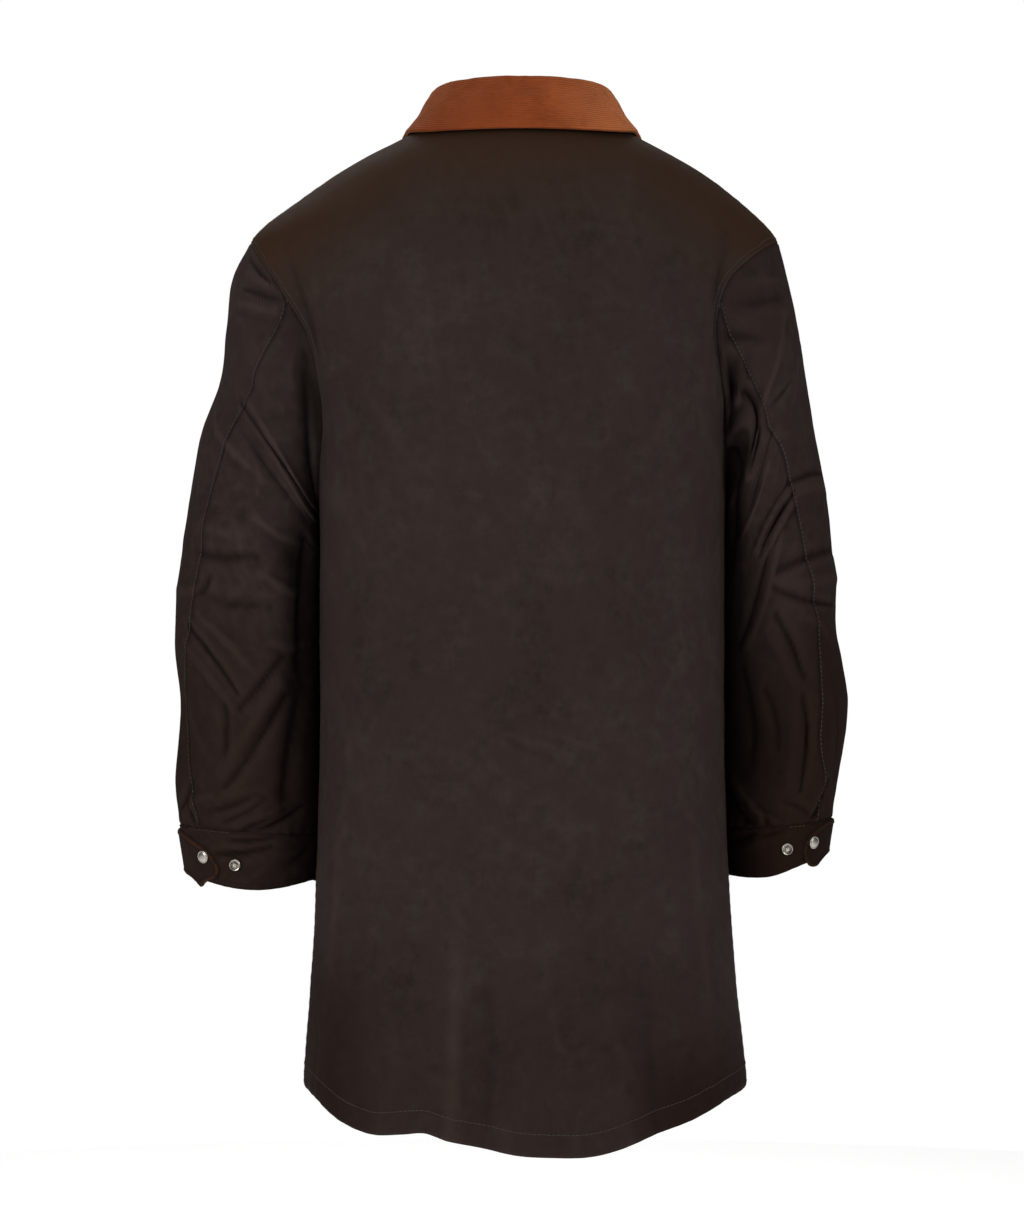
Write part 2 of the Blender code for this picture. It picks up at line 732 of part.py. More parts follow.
def collar_section(angle, share):
    """Radius and height on the collar's right side: up the stand, over the roll and down the fall."""
    turn = np.degrees(np.abs(angle))
    c = {name: smooth_at(COLLAR["turn_deg"], COLLAR[name], turn) for name in COLLAR}
    neck_z = neck_level(angle)
    neck_r = body_reach(angle, neck_z) - COLLAR_CLOTH
    roll_r, roll_z = neck_r + c["lean"], neck_z + c["stand"]
    edge_r, edge_z = off_body(angle, roll_z - c["edge_drop"], COLLAR_CLOTH + c["edge_clear"])
    fall_r, fall_z = roll_r + c["roll_width"], roll_z - ROLL_FALL
    points = (
        (neck_r, neck_z + COLLAR_SEAT),
        ((neck_r + roll_r) / 2, neck_z + c["stand"] / 2),
        (roll_r, roll_z - ROLL_RISE),
        (roll_r + ROLL_TOP * c["roll_width"], roll_z),
        (fall_r, fall_z),
        ((fall_r + edge_r) / 2 + c["bulge"], (fall_z + edge_z) / 2 + c["bulge"] / 2),
        (edge_r, edge_z),
    )
    return [smooth_at(COLLAR_SHARES, np.stack(values), share) for values in zip(*points)]


def collar_rows():
    """Shares along the collar's section for its right side, and the height of the pile there."""
    plain = np.linspace(0, FALL_START, COLLAR_PLAIN_ROWS + 1)
    wales = round(COLLAR["edge_drop"][0] / WALE)
    fall = np.linspace(FALL_START, 1, 2 * wales + 1)[1:]
    pile = np.zeros(len(plain) + len(fall))
    pile[len(plain) : -1 : 2] = WALE_HEIGHT
    return np.concatenate([plain, fall]), pile


def collar_grid(share, lift):
    """Points of the collar at these shares of its section, moved off its right side by lift."""
    share = np.asarray(share)[:, None]
    seam = math.pi / 2
    end = seam + (front_end(-NECK_DROP_FRONT) - seam) * COLLAR_FRONT_COLUMNS / FRONT_COLUMNS
    end = end - COLLAR_POINT_BACK * ease((share - FALL_START) / (1 - FALL_START))
    behind = seam * np.linspace(0, 1, BACK_COLUMNS // 2 + 1)[None, :]
    ahead = seam + (end - seam) * np.linspace(0, 1, COLLAR_FRONT_COLUMNS + 1)[None, 1:]
    half = np.concatenate([np.broadcast_to(behind, (len(share), behind.size)), ahead], axis=1)
    angle = np.concatenate([-half[:, :0:-1], half], axis=1)
    share = np.broadcast_to(share, angle.shape)
    r, z = collar_section(angle, share)
    ahead_r, ahead_z = collar_section(angle, share + STEP)
    out = unit(np.stack([z - ahead_z, ahead_r - r], axis=-1))
    r = r + out[..., 0] * lift
    z = z + out[..., 1] * lift
    sway = body_section(neck_level(angle))["sway"]
    return np.stack([sway + r * np.sin(angle), r * np.cos(angle), z], axis=-1)


def collar_build():
    shares, pile = collar_rows()
    right_side = collar_grid(shares, pile[:, None])
    reverse = collar_grid(np.linspace(0, 1, COLLAR_REVERSE_ROWS + 1), -COLLAR_CLOTH)

    def build(shape):
        out, back = skin(shape, right_side, False), skin(shape, reverse, False)
        strip(shape, out[0], back[0])
        strip(shape, out[-1], back[-1])
        for end in (0, -1):
            ring = [row[end] for row in out] + [row[end] for row in reversed(back)]
            shape.faces.new(ring)

    return build


# Press studs


def turned(name, outline, material, parent, point, normal):
    """A round piece that stands on a surface point, its axis along the normal."""
    mesh = bpy.data.meshes.new(name)
    corners = [(r, 0, h) for r, h in zip(outline["radius"], outline["height"])]
    mesh.from_pydata(corners, [(k, k + 1) for k in range(len(corners) - 1)], [])
    thing = add_object(name, mesh, material, parent)
    screw = thing.modifiers.new("Turn", "SCREW")
    screw.steps = screw.render_steps = CAP_STEPS
    screw.use_merge_vertices = True
    screw.merge_threshold = 0.00001
    screw.use_smooth_shade = True
    thing.location = Vector(point) + Vector(normal) * SEAM_GAP
    thing.rotation_mode = "QUATERNION"
    thing.rotation_quaternion = Vector(normal).to_track_quat("Z", "Y")
    return thing


def front_stud_places():
    """Points and normals down the middle of the lapped edge, on the left front's face."""
    levels = np.linspace(FRONT_STUD_TOP, FRONT_STUD_BOTTOM, FRONT_STUDS)
    angle = np.full_like(levels, math.pi)
    normal = body_normal(angle, levels)
    return body_point(angle, levels) + normal * (CLOTH + 2 * SEAM_GAP), normal


def main():
    for old in list(bpy.data.objects):
        bpy.data.objects.remove(old)
    cotton = plain_material("waxed_cotton", WAXED_BROWN, 0.55)
    corduroy = plain_material("corduroy", CORDUROY_TAN, 0.9)
    steel = plain_material("stud_steel", STUD_STEEL, 0.32, 1.0)
    jacket = bpy.data.objects.new("jacket", None)
    bpy.context.scene.collection.objects.link(jacket)

    add_object("back", mesh_from("back", wall(*back_panel())), cotton, jacket)
    for side, word in ((1, "left"), (-1, "right")):
        pieces = {
            f"front_{word}": wall(*front_panel(side)),
            f"sleeve_top_{word}": wall(*sleeve_panel(side, True)),
            f"sleeve_under_{word}": wall(*sleeve_panel(side, False)),
            f"cuff_{word}": wall(*cuff_band(side), closed=True),
            f"cuff_tab_{word}": wall(*cuff_tab(side)),
        }
        for name, build in pieces.items():
            add_object(name, mesh_from(name, build), cotton, jacket)
        middle = np.array([TAB_DROP[side]])
        tab_face = CUFF_PROUD + SEAM_GAP + TAB_CLOTH
        point, normal = on_cuff(side, np.array([TAB_STUD]), middle, tab_face)
        turned(f"tab_cap_{word}", CAP_OUTLINE, steel, jacket, point[0], normal[0])
        point, normal = on_cuff(side, np.array([CUFF_STUD]), middle, CUFF_PROUD)
        turned(f"cuff_stud_{word}", OPEN_STUD_OUTLINE, steel, jacket, point[0], normal[0])
    add_object("collar", mesh_from("collar", collar_build()), corduroy, jacket)
    for k, (point, normal) in enumerate(zip(*front_stud_places()), 1):
        turned(f"front_cap_{k}", CAP_OUTLINE, steel, jacket, point, normal)


main()
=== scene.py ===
"""Looks of the waxed-cotton jacket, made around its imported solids.

Each cloth piece repeats its solid's surface, finer, with creases, rolled edges, puckers and stitching.
Metres, +Z up. The front faces -Y and the wearer's left is +X.
Angles round the body and the collar are counted from the centre back, positive towards the
wearer's left. Angles round a sleeve are counted from its outer side, positive towards the back.
"""

import math

import bmesh
import bpy
import numpy as np
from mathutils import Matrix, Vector, noise
from mathutils.bvhtree import BVHTree
from mathutils.kdtree import KDTree


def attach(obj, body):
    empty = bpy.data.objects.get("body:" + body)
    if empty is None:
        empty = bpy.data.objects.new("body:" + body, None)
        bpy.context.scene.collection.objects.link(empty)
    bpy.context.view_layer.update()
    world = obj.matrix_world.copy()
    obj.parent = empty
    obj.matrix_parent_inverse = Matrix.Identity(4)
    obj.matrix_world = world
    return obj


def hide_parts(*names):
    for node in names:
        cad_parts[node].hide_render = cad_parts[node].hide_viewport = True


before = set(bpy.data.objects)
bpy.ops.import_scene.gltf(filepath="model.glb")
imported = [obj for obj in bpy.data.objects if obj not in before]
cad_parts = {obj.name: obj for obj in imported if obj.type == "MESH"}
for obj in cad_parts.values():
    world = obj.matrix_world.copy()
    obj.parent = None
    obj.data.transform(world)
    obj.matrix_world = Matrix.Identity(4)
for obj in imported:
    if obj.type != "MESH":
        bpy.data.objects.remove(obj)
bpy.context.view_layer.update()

# The wearer's left and right
SIDE_WORDS = {1: "left", -1: "right"}

# Cloth and seams, as in the solids
CLOTH = 0.0016
COLLAR_CLOTH = 0.0026
SEAM_GAP = 0.0004
SEAM_LAP = 0.0006  # how far the rolled edges of two pieces run into each other
ARMHOLE_LAP = 0.0014  # how far a sleeve's top edge runs under the body's

# Measuring
MM = 0.001
STEP = 1e-4  # how far apart two points are when a slope is measured
BEND_STEP = 0.0025  # the same where a bend of the cloth is measured
LINE_STEP = 0.001  # the same along a line that distances are measured from
INWARD = 3  # rows from an edge to the line that shows which way is inward
SEED_SHIFT = 7.31  # how far apart the noises of two seeds lie

# Shape of a fold: bluntness of its crest, fall and turn of its flanks, and how its ends taper
CREST = 0.06
FLANK_FALL = 1.5
FLANK_TURN = 2
TAPER_END = 0.1
TAPER_POWER = 0.7

# Cloth beside an edge: drift and share of its puckers, the layer's end, the roll, the wear and the rim
DRIFT_LENGTH = 0.05
DRIFT_TURN = 5
PUCKER_SHARE = 0.6
PUCKER_SWING = 0.8
PUCKER_REACH = 1.6
LAYER_EASE = 0.003
ROLL_DEPTH = 0.0010
ROLL_REACH = 0.0011
WORN_REACH = 0.0022
RIM_SHARE = 0.4
RIM_REACH = 0.004

# Small dents: depth and size on each kind of piece, and how much smaller and flatter the finer ones are
DENTS = {
    "back": (0.00050, (0.050, 0.050, 0.070)),
    "front": (0.00055, (0.050, 0.050, 0.065)),
    "sleeve": (0.00080, (0.030, 0.030, 0.040)),
    "cuff": (0.00050, (0.028, 0.028, 0.024)),
    "tab": (0.00020, (0.020, 0.020, 0.020)),
    "collar": (0.00050, (0.030, 0.030, 0.022)),
}
FINE_SIZE = 0.42
FINE_DEPTH = 0.4
SLEEVE_DENTS = 0.55  # share of their depth on a sleeve's outer side
SLEEVE_DENTS_TURN = 1.4

# Paler wear on ridges and painted shade in hollows, from bends of the cloth: the bend that counts as 1,
# and the limits of hollows, ridges and the sum
FULL_BEND = 90
HOLLOW_SHADE_LIMIT = -0.7
RIDGE_LIMIT = 0.6
WEAR_LIMITS = (-1, 1.2)

# Where the noise of each kind of piece starts
BACK_SEED = 3
FRONT_SEED = 11
SLEEVE_SEED = 21
CUFF_SEED = 31
TAB_SEED = 41
WALE_SEED = 51
PILE_SEED = 52
COLLAR_SEED = 53

# Body
HEM_AT_SIDE = -0.882
HEM_EASE = 0.16  # height over which the level rows turn into the hem's curve
NECK_DROP_FRONT = 0.066
NECK_DROP_POWER = 3
NECK_EASE_Z = -0.25  # the front's rows start to bend down to the neck above this height
FRONT_LAP = 0.020  # each front runs this far past the centre front
LAP_START = 0.090
LAP_EASE = 0.055
ARMHOLE_TOP = -0.106
ARMHOLE_BOTTOM = -0.345
ARMHOLE_BACK = {1: 0.062, -1: 0.070}
ARMHOLE_BACK_RISE = {1: 0.020, -1: 0.058}
ARMHOLE_FRONT = 0.062
BODY_RADIUS = 0.17  # metres of cloth for each radian round the body

# Sleeves and cuffs
FORE_SEAM = math.radians(-9 * 360 / 28)
SLEEVE_RADIUS = 0.065  # metres of cloth for each radian round the sleeve
SLEEVE_LENGTH = 0.52
ARMHOLE_FADE = 0.010  # share of the sleeve's length in which folds fade at the armhole
CUFF_FADE = 0.016
CUFF_PROUD = 0.0007
CUFF_RADIUS = 0.055
CUFF_HEIGHT = 0.049
CUFF_SEAM_FADE = 0.16  # share of its height in which the creases fade at its seam
CUFF_STITCHES_LIT = {1: (36, 76), -1: (66, 86)}  # degrees round a cuff where its upper stitches are painted lit; elsewhere its stitches are painted in shade

# Tabs: their ends, outline, bound edge and place on the cuff
TAB_CLOTH = 0.0022
TAB_FACE = CUFF_PROUD + SEAM_GAP + TAB_CLOTH  # height of a tab's face off the sleeve's surface
TAB_START = math.radians(-38)
TAB_END = math.radians(64)
TAB_HEIGHT = 0.046
TAB_POINT = {1: 0.046, -1: 0.034}
TAB_TIP = 0.34
TAB_CURVE = 0.8
TAB_ROUND = 0.003
TAB_ROUND_POWER = 8
TAB_PIPING = 0.0004  # height of its bound edge
TAB_PIPING_AT = 0.0014
TAB_PIPING_WIDTH = 0.0012
TAB_ROLL = 0.0007
TAB_BINDING = 0.0018
TAB_BINDING_EASE = 0.0008
TAB_SLANT = {1: 0.010, -1: 0.002}
TAB_DROP = {1: 0.0265, -1: 0.0235}

# Press studs: their angles round the cuffs, their heights over the tabs' middle and the row in front
TAB_STUD = {1: math.radians(51), -1: math.radians(54)}
TAB_STUD_RISE = {1: 0.0, -1: 0.005}
CUFF_STUD = {1: math.radians(79), -1: math.radians(83)}
CUFF_STUD_RISE = {1: -0.0053, -1: 0.001}
FRONT_STUD_TOP = -0.150
FRONT_STUD_BOTTOM = -0.765
FRONT_STUDS = 6

# Collar
COLLAR_FRONT_SHARE = 9 / 11  # of the way from the shoulder to the front edge
COLLAR_POINT_BACK = math.radians(9)
COLLAR_SEAT = 0.0007
COLLAR_SHARES = (0, 0.18, 0.29, 0.37, 0.48, 0.74, 1)
ROLL_RISE = 0.006
ROLL_FALL = 0.008
ROLL_TOP = 0.44
ROLL_WIDTH = 0.012
FALL_START = 0.46
WALES = 40  # over the whole section
WALE_HEIGHT = 0.00075
WALE_POWER = 0.8
WALE_DRIFT = 0.10  # how far the wales stray, in wales
WALE_DRIFT_SIZE = 0.05
PILE = 0.85  # mean share of the wales' height that the brushed pile keeps, and how much it swings
PILE_SWING = 0.3
PILE_SIZE = (0.010, 0.010, 0.006)
COLLAR_ROLL = 0.0011
COLLAR_ROLL_REACH = 0.0013

# Painted shade: how far the colour turns darker at a sleeve's top and end, on the cuffs and tabs, at the
# hem and low on the sides
SLEEVE_PAINTED_SHADE = {1: (0.04, 0.62), -1: (0.22, 0.78)}
SLEEVE_PAINTED_SHADE_FROM = 0.34  # share of the sleeve's length
SLEEVE_PAINTED_SHADE_TO = 0.76
CUFF_PAINTED_SHADE = {1: 0.62, -1: 0.88}
HEM_PAINTED_SHADE = 0.26
HEM_PAINTED_SHADE_Z = -0.700  # where it starts, and over which height it grows
HEM_PAINTED_SHADE_EASE = 0.18
SIDE_PAINTED_SHADE = {1: 0.42, -1: 0.50}
SIDE_PAINTED_SHADE_X = {1: 0.115, -1: 0.085}  # where it starts, from the middle
SIDE_PAINTED_SHADE_X_EASE = 0.055
SIDE_PAINTED_SHADE_Z = {1: -0.720, -1: -0.800}
SIDE_PAINTED_SHADE_Z_EASE = 0.08
NECK_TINT = -0.95  # below 0 it turns to rust instead
NECK_TINT_DEPTH = 0.090  # how far below the shoulder line it fades
NECK_TINT_HOLD = 1.2  # the part over 1 is the share of that depth in which it is full
SHOULDER_X = 0.090
SHOULDER_FALL = 0.69
COLLAR_PAINTED_LIGHT = 0.85  # painted light makes the collar paler towards the wearer's right, and painted shade darker towards the left
COLLAR_PAINTED_LIGHT_EASE = 0.11
COLLAR_PAINTED_SHADE = 0.55
COLLAR_PAINTED_SHADE_EASE = 0.05
COLLAR_TINT_X = -0.01  # where both start
# How strongly each tab's bound edge shows: full painted light on the left tab, weaker in shade on the
# right
TAB_EDGE_LIT = {1: 1.0, -1: 0.45}

# Sewing
HEM_FOLD = 0.021  # height of the turned-up hem
FELL = 0.008  # width of the seam allowance that is stitched down
STITCH = 0.0031
STITCH_PITCH = 0.0042
STITCH_RINGS = 5
STITCH_ARCH = 1.5  # rise of a stitch's middle and how deep it sits, in thread radii
STITCH_SINK = 0.8
STITCH_END = 0.7  # the thread's share of its radius at the stitch's ends
THREAD = 0.00038  # the thread's radius

# How far rows of stitches lie from the edge
SEAM_STITCH = 0.0022
FELL_STITCH = FELL - MM
PLACKET_STITCHES = (0.003, 0.032)
HIND_STITCH = 0.0024
CUFF_END_STITCH = 0.006
TAB_STITCH = 0.0045

# Cut of each cloth piece without seams and hems: its width and length in the flat, and its area
BACK_CUT = ((0.60, 0.97), 0.477)
FRONT_CUT = ((0.32, 0.93), 0.252)
TOP_SLEEVE_CUT = {1: ((0.32, 0.56), 0.108), -1: ((0.355, 0.56), 0.113)}
UNDER_SLEEVE_CUT = {1: ((0.30, 0.51), 0.094), -1: ((0.295, 0.51), 0.079)}
CUFF_CUT = {1: ((0.38, 0.056), 0.0181), -1: ((0.36, 0.048), 0.0142)}
TAB_CUT = {1: ((0.115, 0.043), 0.0042), -1: ((0.115, 0.038), 0.0036)}

# Grids
BACK_COLUMNS = 180
FRONT_COLUMNS = 84
ROWS_BELOW_ARMHOLE = 164
ARMHOLE_ROWS = 46
ROWS_ABOVE_ARMHOLE = 30
SLEEVE_COLUMNS = 84
SLEEVE_ROWS = 200
CUFF_COLUMNS = 160
CUFF_ROWS = 22
TAB_COLUMNS = 80
TAB_ROWS = 34
COLLAR_COLUMNS = 170
ROWS_PER_WALE = 6
STUD_SIDES = 40
THREAD_SIDES = 6
SHARP_ANGLE = math.radians(55)

# Colours, linear
WAX_DARK = (0.0198, 0.0137, 0.0116)
WAX_BROWN = (0.0374, 0.0278, 0.0246)
WAX_ROSE = (0.0286, 0.0192, 0.0178)
WAX_SHADED = (0.0112, 0.0055, 0.0037)
WAX_SHADE = (0.0052, 0.0037, 0.0027)
WAX_RUST = (0.0340, 0.0180, 0.0107)
WAX_WORN = (0.0640, 0.0450, 0.0385)
REVERSE_DARK = (0.0480, 0.0350, 0.0280)
REVERSE_BROWN = (0.0800, 0.0600, 0.0490)
TAB_EDGE = (0.0345, 0.0145, 0.0085)
CORDUROY_TAN = (0.272, 0.056, 0.0122)
CORDUROY_LIT = (0.515, 0.163, 0.0555)
CORDUROY_DARK = (0.165, 0.033, 0.0078)
CORDUROY_GROOVE_SHADE = (0.110, 0.022, 0.0060)
CORDUROY_SHEEN = (1.0, 0.55, 0.3, 1)
NICKEL = (0.50, 0.46, 0.41)
NICKEL_DULL = (0.26, 0.235, 0.205)
NICKEL_DARK = (0.035, 0.030, 0.026)
THREAD_DARK = (0.018, 0.012, 0.009)
THREAD_PALE = (0.031, 0.0215, 0.0175)
THREAD_LIT = (0.062, 0.047, 0.039)
THREAD_SHADED = (0.0115, 0.0062, 0.0045)
THREAD_SHADED_DARK = (0.0085, 0.0048, 0.0034)
THREAD_HEM = (0.030, 0.021, 0.017)
FLOOR_WHITE = (0.86, 0.86, 0.855)
FLOOR_PALE = (0.83, 0.83, 0.825)

# Textures
WEAVE = 0.0008  # distance from thread to thread
WAX_GLOSS = 0.07  # how much rougher and smoother the cloth gets in patches
WAVE_SCALE = math.pi / 10  # a wave texture of this scale has stripes one metre apart

# The photograph's camera
CAMERA_PLACE = (0.00925, 3.0, -0.45)
VIEW_HEIGHT = 1.1396  # what the picture's height covers at the jacket's middle
SENSOR = 36.0

# Floor, surround and soft lights: place, target, size and watts
FLOOR_Z = -1.45
FLOOR_RADIUS = 3.2
FLOOR_SIDES = 128
FLOOR_GLOW = 0.47
WHITE = (1, 1, 1, 1)
SURROUND_LIGHT = 0.12
LIGHTS = {
    "key": ((2.5, 2.45, 0.4), (0, 0, -0.45), (1.4, 2.4), 66),
    "fill": ((-2.5, 2.45, 0.4), (0, 0, -0.45), (1.4, 2.4), 53),
    "overhead": ((0, 0.3, 2.6), (0, 0.3, -1), (4.5, 6.0), 61),
    "front": ((0.5, -2.6, 2.0), (0, -1.2, -1.2), (3.0, 1.6), 48),
}

# Columns of a table of folds
FOLD_COLUMNS = ("from_turn", "from_down", "to_turn", "to_down", "bow", "width", "height", "lean")


def read_table(columns, *rows):
    """A table as one array for each named column."""
    return dict(zip(columns, np.array(rows, float).T))


def read_folds(*rows):
    """A table of folds, with its bows, widths and heights turned from millimetres to metres."""
    folds = read_table(FOLD_COLUMNS, *rows)
    for name in ("bow", "width", "height"):
        folds[name] = folds[name] * MM
    return folds


# Level sections of the body, from below the hem up to the neck
BODY = read_table(
    ("z", "sway", "half_width", "back_depth", "front_depth", "squareness"),
    (-0.960, -0.004, 0.2070, 0.160, 0.165, 2.10),
    (-0.880, -0.003, 0.2035, 0.156, 0.163, 2.15),
    (-0.760, -0.001, 0.1935, 0.149, 0.159, 2.25),
    (-0.620, 0.000, 0.1870, 0.140, 0.156, 2.30),
    (-0.480, 0.000, 0.1860, 0.134, 0.156, 2.35),
    (-0.350, 0.000, 0.1870, 0.140, 0.156, 2.45),
    (-0.250, 0.000, 0.1925, 0.147, 0.151, 2.35),
    (-0.200, 0.002, 0.2120, 0.147, 0.145, 2.12),
    (-0.155, 0.005, 0.2400, 0.144, 0.136, 1.94),
    (-0.125, 0.006, 0.2480, 0.140, 0.127, 1.88),
    (-0.106, 0.007, 0.2437, 0.137, 0.121, 1.86),
    (-0.067, 0.003, 0.2020, 0.128, 0.107, 1.86),
    (-0.034, 0.001, 0.1540, 0.113, 0.095, 1.92),
    (-0.012, 0.001, 0.1120, 0.097, 0.085, 1.97),
    (0.001, 0.000, 0.0880, 0.083, 0.078, 2.00),
)

# How far the hem hangs below its height at the sides, by the angle from the centre back
HEM = read_table(
    ("turn_deg", "drop"),
    (-180, 0.0080),
    (-130, 0.0040),
    (-90, 0.0000),
    (-76, 0.0004),
    (-65, 0.0045),
    (-53, 0.0180),
    (-37, 0.0312),
    (-21, 0.0426),
    (-8, 0.0431),
    (3, 0.0415),
    (15, 0.0351),
    (25, 0.0285),
    (31, 0.0236),
    (39, 0.0261),
    (48, 0.0282),
    (59, 0.0199),
    (69, 0.0052),
    (78, 0.0004),
    (90, 0.0000),
    (130, 0.0040),
    (180, 0.0080),
)

# Sections of each sleeve after the armhole
RING_COLUMNS = ("outer_x", "outer_z", "inner_x", "inner_z", "half_depth", "centre_y")
SLEEVES = {
    1: read_table(
        RING_COLUMNS,
        (0.2680, -0.140, 0.1885, -0.353, 0.070, -0.006),
        (0.2740, -0.186, 0.1880, -0.366, 0.075, -0.014),
        (0.2800, -0.232, 0.1878, -0.384, 0.078, -0.020),
        (0.2985, -0.282, 0.1876, -0.407, 0.079, -0.024),
        (0.3100, -0.345, 0.1874, -0.440, 0.077, -0.027),
        (0.3200, -0.415, 0.1872, -0.486, 0.074, -0.029),
        (0.3235, -0.475, 0.1870, -0.530, 0.071, -0.031),
        (0.3185, -0.535, 0.1870, -0.575, 0.068, -0.032),
        (0.3235, -0.600, 0.1872, -0.622, 0.064, -0.034),
        (0.3190, -0.644, 0.1880, -0.653, 0.058, -0.034),
        (0.3110, -0.695, 0.1900, -0.700, 0.053, -0.036),
    ),
    -1: read_table(
        RING_COLUMNS,
        (0.2470, -0.145, 0.1885, -0.353, 0.076, -0.006),
        (0.2575, -0.195, 0.1880, -0.366, 0.080, -0.014),
        (0.2650, -0.240, 0.1878, -0.384, 0.083, -0.020),
        (0.2730, -0.285, 0.1876, -0.407, 0.083, -0.024),
        (0.2840, -0.345, 0.1874, -0.440, 0.081, -0.027),
        (0.2920, -0.415, 0.1872, -0.486, 0.078, -0.029),
        (0.2930, -0.462, 0.1870, -0.525, 0.076, -0.031),
        (0.3040, -0.530, 0.1870, -0.570, 0.073, -0.032),
        (0.2955, -0.598, 0.1872, -0.617, 0.069, -0.034),
        (0.2885, -0.638, 0.1878, -0.647, 0.063, -0.034),
        (0.2815, -0.684, 0.1898, -0.692, 0.058, -0.036),
    ),
}

# The seam behind each arm: its angle round the sleeve, by share of the sleeve's length
HIND_SEAM = read_table(
    ("share", "left", "right"),
    (0.00, 59, 62),
    (0.02, 64, 74),
    (0.05, 70, 86),
    (0.09, 76, 94),
    (0.15, 74, 93),
    (0.22, 66, 85),
    (0.29, 57, 77),
    (0.36, 55, 74),
    (0.45, 49, 69),
    (0.55, 46, 60),
    (0.64, 39, 55),
    (0.70, 33, 60),
    (0.76, 37, 62),
    (0.82, 45, 47),
    (0.92, 49, 51),
)

# How much lower than level each cuff's end hangs, by the angle round it, and each tab's lower edge,
# by the share of its length
CUFF_EDGE = read_table(
    ("turn_deg", "left", "right"),
    (-180, 0.0, 0.0),
    (-90, -0.0020, -0.0050),
    (-40, -0.0060, -0.0130),
    (0, -0.0090, -0.0160),
    (20, -0.0075, -0.0145),
    (35, -0.0040, -0.0125),
    (48, -0.0010, -0.0100),
    (58, 0.0010, -0.0085),
    (70, 0.0030, -0.0060),
    (85, 0.0045, -0.0018),
    (100, 0.0045, 0.0010),
    (120, 0.0017, 0.0010),
    (139, -0.0020, 0.0),
    (157, -0.0045, -0.0010),
    (180, 0.0, 0.0),
)
TAB_LOWER = read_table(
    ("share", "left", "right"),
    (0.0, -0.0075, -0.0160),
    (0.37, -0.0070, -0.0155),
    (0.51, -0.0065, -0.0145),
    (0.667, -0.0040, -0.0120),
    (0.735, 0.0, -0.0085),
    (0.79, 0.0044, -0.0040),
    (0.843, 0.0015, -0.0016),
    (0.90, 0.0, 0.0004),
    (1.0, 0.0, 0.0),
)

# Folds and creases of the body: from and to, as an angle from the centre back and a height.
# Bow is how far the middle of the line swings out. Lean makes one flank steep and the other soft.
# Bow, width and height are in millimetres, here and in the other tables of folds.
BODY_FOLDS = read_folds(
    # Back, at the hem
    (26, -0.96, 23, -0.74, 4, 34, 8, -0.5),
    (40, -0.96, 37, -0.78, 4, 32, -2.8, 0),
    (-46, -0.96, -42, -0.77, -5, 38, -8.5, 0.2),
    (-30, -0.96, -27, -0.78, 3, 36, 2.2, -0.3),
    (-62, -0.96, -57, -0.62, 4, 26, 3.6, 0.2),
    (66, -0.96, 60, -0.58, -4, 28, 4.5, 0),
    (14, -0.96, 12, -0.77, 3, 36, -5.8, 0),
    (-12, -0.96, -8, -0.74, 4, 42, 2.2, 0),
    # Back, at the shoulder blades and the waist
    (72, -0.118, 69, -0.205, -4, 18, -6, 0.2),
    (-68, -0.108, -70, -0.235, 14, 17, -6, -0.2),
    (52, -0.24, 30, -0.33, 6, 20, 1.4, 0),
    (-52, -0.24, -28, -0.35, -6, 20, 1.4, 0),
    (16, -0.544, -14, -0.567, 3, 7, 0.5, -0.4),
    (8, -0.555, -19, -0.582, 4, 6, -0.4, 0),
    (1, -0.549, -30, -0.571, -3, 7, 0.5, 0.3),
    (12, -0.582, -8, -0.604, 4, 7, 0.4, 0),
    (-14, -0.562, -34, -0.588, 3, 6, -0.4, 0),
    (-10, -0.524, -27, -0.535, 2, 6, 0.4, 0),
    (38, -0.305, 28, -0.291, 2, 7, 0.6, 0),
    (23, -0.312, 6, -0.305, 2, 7, -0.6, 0),
    (53, -0.321, 48, -0.331, 1, 6, -0.7, 0),
    (22, -0.338, 1, -0.347, 3, 7, 0.5, 0),
    (48, -0.69, 66, -0.52, 4, 26, 1.4, 0),
    (-50, -0.66, -66, -0.48, -4, 26, 1.4, 0),
    # Fronts
    (128, -0.96, 124, -0.54, 6, 30, 6.2, 0.2),
    (-126, -0.96, -121, -0.58, -6, 30, 6.2, -0.2),
    (150, -0.96, 149, -0.62, 4, 28, -5, 0),
    (-152, -0.96, -150, -0.6, -4, 28, -5, 0),
    (112, -0.96, 110, -0.74, 3, 16, -2.4, 0),
    (-112, -0.96, -108, -0.76, -3, 16, -2.4, 0),
    (108, -0.29, 138, -0.42, -8, 15, 2.6, 0.3),
    (-108, -0.29, -136, -0.43, 8, 15, 2.6, -0.3),
    (112, -0.2, 128, -0.3, -5, 12, -2.2, 0),
    (-112, -0.205, -126, -0.3, 5, 12, -2.2, 0),
    (120, -0.62, 152, -0.57, 5, 13, 1.2, -0.3),
    (-118, -0.64, -150, -0.6, -5, 13, 1.2, 0.3),
)

# Patches of painted shade on each sleeve, where it lies in the body's shade: their middle, their reach and
# how dark it is
PAINTED_SHADE_COLUMNS = ("turn_deg", "share", "turn_reach", "share_reach", "amount")
SLEEVE_PAINTED_SHADES = {
    1: read_table(
        PAINTED_SHADE_COLUMNS,
        (108, 0.010, 28, 0.022, 0.80),
        (86, 0.270, 14, 0.040, 0.25),
        (128, 0.412, 18, 0.045, 0.78),
        (132, 0.500, 12, 0.045, 0.35),
        (126, 0.610, 10, 0.050, 0.55),
    ),
    -1: read_table(
        PAINTED_SHADE_COLUMNS,
        (90, 0.032, 16, 0.028, 0.35),
        (121, 0.115, 16, 0.050, 0.80),
        (118, 0.490, 15, 0.080, 0.45),
        (108, 0.730, 26, 0.150, 0.48),
    ),
}

